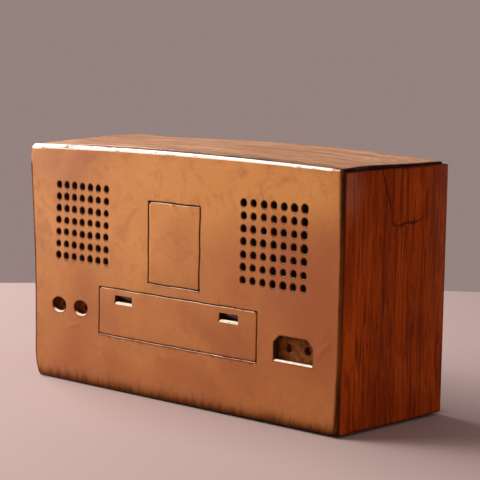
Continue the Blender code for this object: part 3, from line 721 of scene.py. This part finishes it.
def inlet_hole(u, v):
    low_u, low_v, high_u, high_v = INLET
    sides = hole_box(low_u, low_v, high_u, high_v, 0.3 * MM)(u, v)
    cut = (np.abs(u - (low_u + high_u) / 2) - (high_u - low_u) / 2 + v - high_v + INLET_CUT) * math.sqrt(0.5)
    return np.maximum(sides, cut)


def vent_holes():
    """Every punched hole, each a little off its place and its size, as a hand punch leaves it."""
    draw = np.random.default_rng(21)
    holes = []
    half = (VENT_COUNT - 1) / 2
    for number, (u0, v0) in enumerate(VENTS):
        for column in range(VENT_COUNT):
            for row in range(VENT_COUNT):
                shift = draw.normal(0.0, 0.11 * MM, 2)
                wear = WORN_VENTS.get((column, row), 1.0) if number == 0 else 1.0
                size = draw.normal(1.0, 0.035) * wear
                tall = draw.normal(1.04, 0.03)
                u = u0 + (column - half) * VENT_PITCH * VENT_STRETCH[number] + shift[0]
                v = v0 + (row - half) * VENT_PITCH + shift[1]
                radius = VENT_RADIUS * size
                # Each hole's upward-facing lip gets raw hide, partly a painted rim highlight.
                holes.append((hole_circle(u, v, radius, radius * tall), 0.4 * MM, 0.15 * MM, 0.35))
    return holes


def scribed_burn(u, v, gap):
    """The dark edge of a piece cut out along a scribed line."""
    return 0.5 * np.exp(-gap / (0.4 * MM))


# Burnish by the rear leather's edges and foot, with painted shade on the rounding along the shaded -X edge.
def rear_burn(u, v, gap):
    side = np.abs(HALF_WIDTH + lean(v) - u)
    high = unit((v - 0.1) / 0.04)
    made = 0.75 * np.exp(-gap / (0.5 * MM)) * (1.0 - unit((v - CORNER_Z + 14 * MM) / (6 * MM)))
    low = np.exp(-np.maximum(v - foot_line(u), 0.0) / (9 * MM))
    # Along the -X edge: burnish and painted shade where the rounding turns from the light, wider high up and
    # low down.
    above = unit((v - 0.11) / 0.045)
    below = unit((0.05 - v) / 0.05)
    spread = (2.4 + 2.6 * above + 3.0 * below) * MM
    shaded_side_rim = unit(1.3 - (u + HALF_WIDTH) / spread)
    far_side = 0.5 * np.exp(-side / (1.2 * MM)) * (1.0 - high)
    return strongest(made, low, shaded_side_rim, far_side)


def spot(u, v, u0, v0, reach_u, reach_v):
    return np.exp(-(((u - u0) / reach_u) ** 2) - ((v - v0) / reach_v) ** 2)


def rear_tone(u, v):
    """The dye's colour with painted light: lightest along the top, where a painted sheen band runs, and
    toward +X, where the light falls, least low down near -X; partly the dye's own unevenness.
    """
    painted_sheen_band = np.exp(-(((v - 0.147) / 0.018) ** 2)) * np.exp(-(((u + 0.045) / 0.085) ** 4))
    high = spot(u, v, 0.04, 0.12, 0.08, 0.045)
    side = spot(u, v, 0.13, 0.1, 0.035, 0.08)
    lit_slope = 0.3 + 0.2 * u + 1.0 * (v - 0.08)
    dull = spot(u, v, -0.115, 0.078, 0.028, 0.03)
    corner = spot(u, v, 0.112, 0.14, 0.035, 0.025)
    made = lit_slope + 0.75 * painted_sheen_band + 0.35 * high + 0.2 * side - 0.4 * dull - 0.2 * corner
    return np.clip(made, -0.3, 1.2)


def rear_relief(u, v):
    made = uneven(u, v)
    for start, end, size in (
        ((-0.118, 0.046), (-0.132, 0.06), 0.35), ((-0.119, 0.052), (-0.13, 0.068), 0.22),
        ((0.088, 0.041), (0.104, 0.0375), 0.25), ((0.112, 0.04), (0.121, 0.047), -0.2),
        ((0.02, 0.145), (0.045, 0.15), -0.25), ((-0.06, 0.148), (-0.085, 0.143), -0.2),
    ):
        made = made + ridge(u, v, start, end, 1.6 * MM, size * MM)
    for u0, v0 in VENTS:
        made = made - 0.16 * MM * np.exp(-(((u - u0) / 0.03) ** 4) - ((v - v0) / 0.03) ** 4)
    return made


def make_rear_leather():
    edges = [(rear_edge, rear_lip, 0.0, 0.0)]
    edges += vent_holes()
    # The last member of each opening's edge paints raw hide on its upward-facing lip, partly a painted
    # highlight.
    for (low_u, low_v, high_u, high_v), wave in ((DOOR, DOOR_WAVE), (LABEL, LABEL_WAVE)):
        hole = hole_box(low_u - LINE, low_v - LINE, high_u + LINE, high_v + LINE, 0.2 * MM, *wave)
        edges.append((hole, 0.22 * MM, 0.2 * MM, 0.55))
    for u0, v0 in JACKS:
        edges.append((hole_circle(u0, v0 + 0.45 * MM, 6.5 * MM, 4.55 * MM), 0.45 * MM, 0.95 * MM, 1.0))
    edges.append((inlet_hole, 0.35 * MM, 1.1 * MM, 1.0))
    fine = 0.75 * MM
    u_zones = [around(u, 29 * MM) for u, _ in VENTS]
    u_zones += [(JACKS[0][0] - 9 * MM, JACKS[1][0] + 9 * MM), (INLET[0] - 3 * MM, INLET[2] + 3 * MM)]
    u_zones += [(-HALF_WIDTH - MM, -HALF_WIDTH + 5 * MM), (HALF_WIDTH - 9 * MM, HALF_WIDTH + 7 * MM)]
    u_zones += [around(line, 2 * MM) for line in (DOOR[0], DOOR[2], LABEL[0], LABEL[2])]
    v_zones = [around(VENTS[0][1], 29 * MM), (INLET[1] - 3 * MM, INLET[3] + 3 * MM)]
    v_zones += [(FOOT_Z - 3 * MM, FOOT_Z + 5 * MM), (CORNER_Z - 6 * MM, CORNER_Z + CROWN + MM)]
    v_zones += [around(line, 2 * MM) for line in (DOOR[1], DOOR[3], LABEL[1])]
    made = sheet(
        "rear_cover_leather",
        lines(-HALF_WIDTH - 0.5 * MM, HALF_WIDTH + 6.5 * MM, 2.2 * MM, fine, u_zones),
        lines(FOOT_Z - 2.5 * MM, CORNER_Z + CROWN + 0.5 * MM, 2.2 * MM, fine, v_zones),
        edges, SHEET_THICK, rear_place, rear_relief, rear_burn, rear_tone, paint_top_highlight=True,
    )
    present(made, "cabinet", "leather", "rear_leather")


def make_label():
    low_u, low_v, high_u, high_v = LABEL
    corners = (low_u + LINE, low_v + LINE, high_u - LINE, high_v - LINE)
    outline = inside(hole_box(*corners, 0.3 * MM, *LABEL_WAVE))
    made = sheet(
        "label_panel",
        lines(low_u - MM, high_u + MM, 1.6 * MM, 0.8 * MM, []),
        lines(low_v - MM, high_v + MM, 1.6 * MM, 0.8 * MM, []),
        [(outline, *SCRIBED_LIP)], SHEET_THICK, rear_place, rear_relief, scribed_burn, rear_tone,
    )
    present(made, "cabinet", "leather", "label_inlay")


def make_door_leather():
    low_u, low_v, high_u, high_v = DOOR
    gap = LINE * 0.6
    corners = (low_u + gap, low_v + gap, high_u - gap, high_v - gap)
    outline = inside(hole_box(*corners, 0.3 * MM, *DOOR_WAVE))
    edges = [(outline, *SCRIBED_LIP)]
    zones = []
    slot_low, slot_high, slot_half = 60.4 * MM, 64.5 * MM, 7.9 * MM
    for u0 in LATCHES:
        slot = hole_box(u0 - slot_half, slot_low, u0 + slot_half, slot_high, 0.5 * MM)
        # The slot's upward-facing lip gets raw hide, partly a painted highlight of its lit floor.
        edges.append((slot, 0.25 * MM, 2 * MM, 1.0))
        zones.append(around(u0, 12 * MM))
    made = sheet(
        "battery_door_leather",
        lines(low_u - MM, high_u + MM, 1.8 * MM, 0.6 * MM, zones),
        lines(low_v - MM, high_v + MM, 1.6 * MM, 0.55 * MM, [(56 * MM, 66 * MM)]),
        edges, SHEET_THICK, rear_place, rear_relief, scribed_burn, rear_tone,
    )
    present(made, "battery_door", "leather", "door_leather")


def front_burn(u, v, gap):
    made = 0.75 * np.exp(-gap / (0.9 * MM))
    low = 0.9 * np.exp(-np.maximum(v - FOOT_Z, 0.0) / (5 * MM))
    side = 0.7 * np.exp(-(FRONT_HALF - np.abs(u)) / (2.4 * MM))
    return strongest(made, low, side)


def make_front_leather():
    edges = [(front_edge, 1.5 * MM, 0.0, 0.0)]
    u_zones = [(-FRONT_HALF - MM, -FRONT_HALF + 4 * MM), (FRONT_HALF - 4 * MM, FRONT_HALF + MM)]
    v_zones = [(FOOT_Z - MM, FOOT_Z + 4 * MM), (FRONT_CORNER_Z - 4 * MM, FRONT_CORNER_Z + CROWN + MM)]
    for cloth in ("grille_cloth_left", "grille_cloth_right"):
        low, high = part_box(cloth)
        u_low, u_high = MIDDLE_X - high.x, MIDDLE_X - low.x
        edges.append((hole_box(u_low, low.z, u_high, high.z, 5.5 * MM), 1.4 * MM, 0.0, 0.0))
        u_zones += [(u_low - 8 * MM, u_low + 7 * MM), (u_high - 7 * MM, u_high + 8 * MM)]
        v_zones += [(low.z - 4 * MM, low.z + 7 * MM), (high.z - 7 * MM, high.z + 4 * MM)]
    edges.append((hole_box(-36 * MM, 95 * MM, 36 * MM, 127 * MM, 3.5 * MM), 1.2 * MM, 0.0, 0.0))
    u_zones += [(-39 * MM, -31 * MM), (31 * MM, 39 * MM)]
    v_zones += [(92 * MM, 100 * MM), (122 * MM, 130 * MM)]
    for knob in ("volume_knob", "tuning_knob", "band_knob"):
        low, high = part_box(knob)
        u0 = MIDDLE_X - (low.x + high.x) / 2
        edges.append((hole_circle(u0, (low.z + high.z) / 2, 3.3 * MM), 0.4 * MM, 0.0, 0.0))
        u_zones.append(around(u0, 5 * MM))
    v_zones.append((31 * MM, 41 * MM))
    relief = waves(11, 14, 0.11, 0.03, 0.14 * MM)
    made = sheet(
        "front_face_leather",
        lines(-FRONT_HALF - 0.5 * MM, FRONT_HALF + 0.5 * MM, 2.4 * MM, 0.9 * MM, u_zones),
        lines(FOOT_Z - 0.5 * MM, FRONT_CORNER_Z + CROWN + 0.5 * MM, 2.4 * MM, 0.9 * MM, v_zones),
        edges, SHEET_THICK, front_place, relief, front_burn, rear_tone,
    )
    present(made, "cabinet", "leather", "front_leather")


# Cabinet wood


def make_top():
    low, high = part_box("top_cover")
    half, depth = (high.x - low.x) / 2, (high.y - low.y) / 2
    middle, centre_y = (high.x + low.x) / 2, (high.y + low.y) / 2
    crown = high.z - low.z - 2.7 * MM
    uneven_top = waves(5, 8, 0.16, 0.05, 0.06 * MM)

    def rise(u, v):
        drop = unit((v - depth + 24 * MM) / (24 * MM)) ** 2
        lift = unit((u / half - 0.7) / 0.3) ** 2 * unit(0.6 - v / depth)
        sag = unit((-u / half - 0.4) / 0.6) * unit(0.6 - v / depth)
        made = uneven_top(u, v) - crown * (u / half) ** 2 - 1.3 * MM * drop
        return made + 2.3 * MM * lift - 0.6 * MM * sag

    outline = inside(hole_box(-half - 1.4 * MM, -depth - 2 * MM, half, depth, 1 * MM, 0.06 * MM))

    def burn(u, v, gap):
        # Burnish along the rear edge, with painted shade growing toward the shaded -X end, and the -X end
        # darkened by burnish and painted shade.
        near_rear = (0.66 - 0.26 * u / half) * np.exp(-np.maximum(depth - v, 0.0) / (7 * MM))
        visible_end = 0.95 * np.exp(-np.maximum(u + half, 0.0) / (1.6 * MM))
        rim = 0.4 * np.exp(-gap / (1.6 * MM))
        return strongest(rim, visible_end, near_rear)

    fine_u = [(-half - 3 * MM, -half + 3 * MM), (half - 4 * MM, half + MM)]
    fine_v = [(-depth - 3 * MM, 2 * MM - depth), (depth - 4 * MM, depth + MM)]
    made = sheet(
        "top_sheet",
        lines(-half - 3 * MM, half + MM, 3 * MM, 0.8 * MM, fine_u),
        lines(-depth - 3 * MM, depth + MM, 3 * MM, 0.8 * MM, fine_v),
        [(outline, 0.9 * MM, 0.0, 0.0)], high.z - low.z,
        lambda u, v, w: (middle + u, centre_y + v, max(high.z - 0.06 * MM + w, low.z)),
        rise, burn, paint_top_highlight=True,
    )
    present(made, "cabinet", "wood_top", "top_cover")


CRACK = ((15.5 * MM, 160 * MM), (11.5 * MM, 150 * MM), (6 * MM, 137 * MM), (2.3 * MM, 124.5 * MM))
KNOT_LINE = (
    (5 * MM, 126.5 * MM), (1.5 * MM, 124.5 * MM), (-5 * MM, 124.3 * MM), (-11 * MM, 125.8 * MM),
    (-17 * MM, 125 * MM), (-24 * MM, 126.5 * MM), (-28 * MM, 129 * MM),
)


def stroke(u, v, points, width):
    """How strongly a drawn line through the points shows at u, v: 1 on it, fading out over its width."""
    nearest = np.full(np.shape(u), np.inf)
    for start, end in zip(points, points[1:]):
        nearest = np.minimum(nearest, off_line(u, v, start, end)[0])
    return np.exp(-((nearest / width) ** 2))


def make_side(name, cad, sign):
    low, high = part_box(cad)
    depth = (high.y - low.y) / 2
    centre_y = (high.y + low.y) / 2

    def outline(u, v):
        sloped = v + 0.8 * MM * unit(0.5 + u / (2 * depth)) * (v - low.z) / (high.z - low.z)
        return -hole_box(-depth - 1.5 * MM, low.z, depth, high.z + 0.9 * MM, 0.6 * MM)(u, sloped)

    worn_in = 7 * MM if sign > 0 else 0.0
    worn_up = 18 * MM
    foot_end = low.z + (22.0 if sign > 0 else 3.0) * MM
    uneven_side = waves(30 + sign, 8, 0.14, 0.05, 0.07 * MM)

    def relief(u, v):
        fall = unit((low.z + worn_up - v) / worn_up)
        return uneven_side(u, v) - 0.12 * MM - worn_in * (1.0 - np.sqrt(1.0 - 0.999 * fall**2))

    def burn(u, v, gap):
        near_rear = 0.7 * np.exp(-np.maximum(depth - u, 0.0) / (1.8 * MM))
        foot = 0.5 * np.exp(-np.maximum(v - low.z, 0.0) / (3 * MM))
        rim = 0.6 * np.exp(-gap / (0.8 * MM))
        if sign > 0:
            return strongest(rim, near_rear, foot)
        crack = 1.1 * stroke(u, v, CRACK, 0.8 * MM)
        return strongest(rim, near_rear, foot, crack, 0.75 * stroke(u, v, KNOT_LINE, 1 * MM))

    # Where a greyish reflection is painted into the side's colour: a patch by the near top corner and a strip
    # along the front edge.
    def sheen(u, v):
        corner = spot(u, v, depth - 7 * MM, 0.148, 9 * MM, 0.016)
        front = 0.4 * np.exp(-(((u + depth) / (16 * MM)) ** 2)) * unit((v - 0.02) / 0.1)
        return unit(corner + front)

    fine_u = [(-depth - 2 * MM, 3 * MM - depth), (depth - 3 * MM, depth + MM)]
    fine_v = [(low.z - MM, foot_end), (high.z - 3 * MM, high.z + 2 * MM)]
    if sign < 0:
        fine_u.append((-34 * MM, 18 * MM))
        fine_v.append((114 * MM, high.z))

    surface = high.x if sign > 0 else low.x
    made = sheet(
        name,
        lines(-depth - 2 * MM, depth + MM, 3 * MM, 0.9 * MM, fine_u),
        lines(low.z - MM, high.z + 2 * MM, 3 * MM, 0.9 * MM, fine_v),
        [(outline, 0.5 * MM, 0.0, 0.0)], high.x - low.x,
        lambda u, v, w: (surface + sign * w, centre_y + u, v),
        relief, burn, sheen,
    )
    present(made, "cabinet", "wood", cad)


# Knobs


def turned(name, profile, steps, flutes=0, flute_depth=0.0, flute_span=(0.0, 0.0)):
    """A closed turned shape about its own Y axis, front at -Y, with optional grip flutes."""
    rings = []
    for radius, height in profile:
        ring = []
        for step in range(steps):
            angle = 2 * math.pi * step / steps
            cut = 0.0
            if flutes and flute_span[0] < height < flute_span[1]:
                cut = flute_depth * (0.5 - 0.5 * math.cos(flutes * angle)) ** 2
            ring.append(((radius - cut) * math.cos(angle), -height, (radius - cut) * math.sin(angle)))
        rings.append(ring)
    shape = bmesh.new()
    made = [[shape.verts.new(point) for point in ring] for ring in rings]
    for upper, lower in zip(made, made[1:]):
        for step in range(steps):
            after = (step + 1) % steps
            shape.faces.new((upper[step], upper[after], lower[after], lower[step]))
    shape.faces.new(made[0])
    shape.faces.new(list(reversed(made[-1])))
    bmesh.ops.recalc_face_normals(shape, faces=shape.faces)
    obj = object_from(shape, name)
    smooth(obj, 35.0)
    return obj


def make_knob(cad, body, flutes):
    low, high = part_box(cad)
    radius = (high.x - low.x) / 2
    centre = Vector(((low.x + high.x) / 2, FRONT_Y, (low.z + high.z) / 2))
    reach = FRONT_Y - low.y
    shaft_end = high.y - FRONT_Y
    profile = [
        (0.3 * MM, reach - 1.1 * MM), (radius * 0.62, reach - 1.1 * MM), (radius * 0.68, reach - 0.9 * MM),
    ]
    for step in range(7):
        angle = math.pi * step / 6
        bulge = reach - 0.9 * MM + 0.8 * MM * math.sin(angle)
        profile.append((radius * 0.77 - radius * 0.09 * math.cos(angle), bulge))
    for step in range(9):
        t = step / 8
        profile.append((radius * band(0.885, 0.93, t), band(reach - 1.6 * MM, 4.4 * MM, t)))
    profile += [
        (radius * 0.96, 4 * MM), (radius * 0.985, 3.6 * MM), (radius, 3 * MM), (radius, 1.4 * MM),
        (radius * 0.98, 1.1 * MM), (2.6 * MM, 1 * MM), (2.6 * MM, -shaft_end), (0.3 * MM, -shaft_end),
    ]
    knob = turned(cad + "_turned", profile, flutes * 8, flutes, radius * 0.05, (4.2 * MM, reach - 1.5 * MM))
    knob.data.transform(Matrix.Translation(centre))
    present(knob, body, "plastic_brown", cad)
    disc = turned(
        cad + "_cap",
        [
            (0.2 * MM, 0.9 * MM), (radius * 0.5, 0.9 * MM), (radius * 0.57, 0.6 * MM),
            (radius * 0.6, 0.1 * MM), (radius * 0.6, -0.4 * MM), (0.2 * MM, -0.4 * MM),
        ],
        64,
    )
    disc.data.transform(Matrix.Translation(centre - Vector((0.0, reach - 1.1 * MM, 0.0))))
    present(disc, body, "brass")
    shape = bmesh.new()
    bmesh.ops.create_cube(shape, size=1.0)
    bmesh.ops.scale(shape, vec=(0.9 * MM, 0.5 * MM, radius * 0.16), verts=shape.verts)
    bmesh.ops.bevel(shape, geom=shape.edges[:], offset=0.18 * MM, segments=2, affect="EDGES")
    mark = object_from(shape, cad + "_mark")
    mark.data.transform(Matrix.Translation(centre + Vector((0.0, -reach + 0.05 * MM, radius * 0.77))))
    smooth(mark)
    present(mark, body, "dial")


# Dial print


def printed(name, text, size, x, z, y):
    curve = bpy.data.curves.new(name, "FONT")
    curve.body = text
    curve.size = size
    curve.align_x = "CENTER"
    curve.align_y = "CENTER"
    curve.extrude = 0.05 * MM
    curve.resolution_u = 3
    obj = bpy.data.objects.new(name, curve)
    bpy.context.scene.collection.objects.link(obj)
    bpy.context.view_layer.update()
    mesh = bpy.data.meshes.new_from_object(obj.evaluated_get(bpy.context.evaluated_depsgraph_get()))
    bpy.data.objects.remove(obj, do_unlink=True)
    mesh.transform(Matrix.Translation((x, y, z)) @ Matrix.Rotation(math.radians(90), 4, "X"))
    present(bpy.data.objects.new(name, mesh), "cabinet", "ink", slot="dial")


def printed_bars(name, boxes):
    """Small bars in one piece, each (low corner, high corner)."""
    shape = bmesh.new()
    for low, high in boxes:
        size = Vector(high) - Vector(low)
        place = Matrix.Translation((Vector(high) + Vector(low)) / 2) @ Matrix.Diagonal((*size, 1.0))
        bmesh.ops.create_cube(shape, size=1.0, matrix=place)
    present(object_from(shape, name), "cabinet", "ink", slot="dial")


def make_dial_print():
    low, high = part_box("dial_scale")
    face = low.y
    front, back = face - 0.12 * MM, face - 0.02 * MM
    reach = 27.5 * MM
    middle = (low.x + high.x) / 2
    marks = []
    for row_z, count in ((118 * MM, 29), (104 * MM, 23)):
        marks.append(((middle - reach, front, row_z - 0.2 * MM), (middle + reach, back, row_z)))
        for step in range(count):
            x = middle - reach + 2 * reach * step / (count - 1)
            tall = (2.8 if step % 4 == 0 else 1.4) * MM
            marks.append(((x - 0.15 * MM, front, row_z + 0.05 * MM), (x + 0.15 * MM, back, row_z + tall)))
    printed_bars("dial_marks", marks)
    rows = (115.3 * MM, (88, 92, 96, 100, 104, 108)), (101.4 * MM, (54, 70, 90, 110, 140, 160))
    for row, (z, numbers) in enumerate(rows):
        for step, number in enumerate(numbers):
            x = middle - reach + 2 * reach * step / (len(numbers) - 1)
            printed("dial_number_%d_%d" % (row, step), str(number), 3.4 * MM, x, z, face - 0.06 * MM)


# CAD nodes kept as they are, with a finished material, their edges softened where they show


def softened(cad, material, width, body, slot=None):
    """A copy of a CAD node with its sharp edges rounded, in place of the node."""
    mesh = nodes[cad].data.copy()
    shape = bmesh.new()
    shape.from_mesh(mesh)
    bmesh.ops.remove_doubles(shape, verts=shape.verts, dist=1e-6)
    bmesh.ops.dissolve_limit(shape, angle_limit=math.radians(1.0), verts=shape.verts, edges=shape.edges)
    shape.to_mesh(mesh)
    shape.free()
    obj = bpy.data.objects.new(cad + "_finished", mesh)
    bevel = obj.modifiers.new("edges", "BEVEL")
    bevel.width = width
    bevel.segments = 2
    bevel.limit_method = "ANGLE"
    bevel.angle_limit = math.radians(40)
    bevel.use_clamp_overlap = True
    smooth(obj, 40.0)
    return present(obj, body, material, cad, slot=slot)


def dress_nodes():
    body_of = {name: body for body, names in frame["record"]["behaviour"]["bodies"].items() for name in names}
    slot_of = {part["node"]: part["material_slot"] for part in frame["record"]["subparts"]}
    for cad, material, width in (
        ("rear_board", "board_edge", 0.3), ("door_board", "board_edge", 0.2),
        ("cover_catch", "leather_maroon", 0.4),
        ("door_latch_left", "plastic_brown", 0.3), ("door_latch_right", "plastic_brown", 0.3),
        ("mains_inlet", "socket_floor", 0.25), ("battery_tray", "plastic_black", 0.4),
        ("bottom_board", "wood_raw", 0.5), ("top_board", "wood_raw", 0.5), ("front_board", "wood_raw", 0.4),
        ("circuit_board", "circuit", 0.2), ("transformer_core", "steel", 0.4),
        ("transformer_coil", "copper", 0.8), ("tuning_capacitor", "steel", 0.4),
        ("foot_runner_left", "felt", 0.3), ("foot_runner_right", "felt", 0.3),
    ):
        softened(cad, material, width * MM, body_of[cad], slot_of[cad])
    replaced = {
        "rear_leather", "label_inlay", "door_leather", "front_leather", "top_cover",
        "side_board_left", "side_board_right", "volume_knob", "tuning_knob", "band_knob",
    }
    for name, obj in nodes.items():
        if name not in replaced:
            obj.data.materials.clear()
            obj.data.materials.append(materials[slot_of[name]])
            obj.data.shade_smooth()
            obj.data.set_sharp_from_angle(angle=math.radians(35))
    for name in ("jack_socket_left", "jack_socket_right"):
        nodes[name].data.materials[0] = materials["socket_floor"]
    for name in (name for name in nodes if name.startswith("inlet_pin")):
        nodes[name].data.materials[0] = materials["aged_brass"]


# Stage


def make_stage():
    """A pale round table top, set toward the camera so that its far rim is half a metre behind the radio."""
    shape = bmesh.new()
    bmesh.ops.create_circle(shape, cap_ends=True, segments=256, radius=1.48)
    floor = object_from(shape, "floor")
    floor.data.transform(Matrix.Translation((-0.66, 0.73, 0.0)))
    bpy.context.scene.collection.objects.link(floor)
    pale, tree, shader = new_material("pale_floor")
    cloud = noise(tree, stretched(tree), 3.0, 2.0)
    colour = mix(tree, cloud, (0.4, 0.3, 0.288), (0.44, 0.33, 0.318))
    tree.links.new(colour, shader.inputs["Base Color"])
    shader.inputs["Roughness"].default_value = 0.75
    floor.data.materials.append(pale)


def area_light(name, direction, distance, size, power, colour):
    light = bpy.data.lights.new(name, "AREA")
    light.shape = "RECTANGLE"
    light.size, light.size_y = size
    light.energy = power
    light.color = colour
    obj = bpy.data.objects.new(name, light)
    heading = Vector(direction).normalized()
    obj.location = Vector((0.0, 0.0, 0.08)) + heading * distance
    obj.rotation_euler = (-heading).to_track_quat("-Z", "Y").to_euler()
    bpy.context.scene.collection.objects.link(obj)


def make_lights():
    area_light("key", (0.62, 0.52, 0.6), 1.7, (0.9, 0.9), 16.0, (1.0, 0.94, 0.88))
    area_light("top_strip", (0.62, 0.12, 0.72), 1.5, (1.3, 0.22), 24.0, (1.0, 0.98, 0.96))
    area_light("sheen", (0.88, 0.48, 0.06), 1.6, (0.6, 0.8), 5.0, (1.0, 0.96, 0.94))
    area_light("shade_fill", (-0.95, 0.25, 0.35), 2.0, (1.2, 1.2), 3.6, (1.0, 0.94, 0.88))
    world = bpy.data.worlds.new("studio")
    bpy.context.scene.world = world
    world.use_nodes = True
    backdrop = world.node_tree.nodes["Background"]
    set_inputs(backdrop, Color=(0.3, 0.225, 0.212, 1.0), Strength=1.0)


def make_camera():
    """The viewing angle and distance: seen from behind the radio's left side, a little above it."""
    camera = bpy.data.cameras.new("camera")
    camera.sensor_width = 36.0
    camera.lens = 133.6
    camera.clip_start = 0.05
    obj = bpy.data.objects.new("camera", camera)
    ahead = Vector((0.6705, -0.7323, -0.1186)).normalized()
    level = ahead.cross(Vector((0.0, 0.0, 1.0))).normalized()
    up = level.cross(ahead)
    roll = math.radians(1.06)
    right = level * math.cos(roll) + up * math.sin(roll)
    above = right.cross(ahead)
    turn = Matrix((right, above, -ahead)).transposed().to_4x4()
    obj.matrix_world = Matrix.Translation((MIDDLE_X - 0.79304, REAR_Y + 0.80524, 0.24236)) @ turn
    bpy.context.scene.collection.objects.link(obj)
    bpy.context.scene.camera = obj


make_camera()
make_rear_leather()
make_label()
make_door_leather()
make_front_leather()
make_top()
make_side("left_side_wood", "side_board_left", -1)
make_side("right_side_wood", "side_board_right", 1)
make_knob("tuning_knob", "tuning", 28)
make_knob("volume_knob", "volume", 22)
make_knob("band_knob", "band", 22)
make_dial_print()
dress_nodes()
make_stage()
make_lights()
bpy.context.scene.view_settings.view_transform = "Standard"
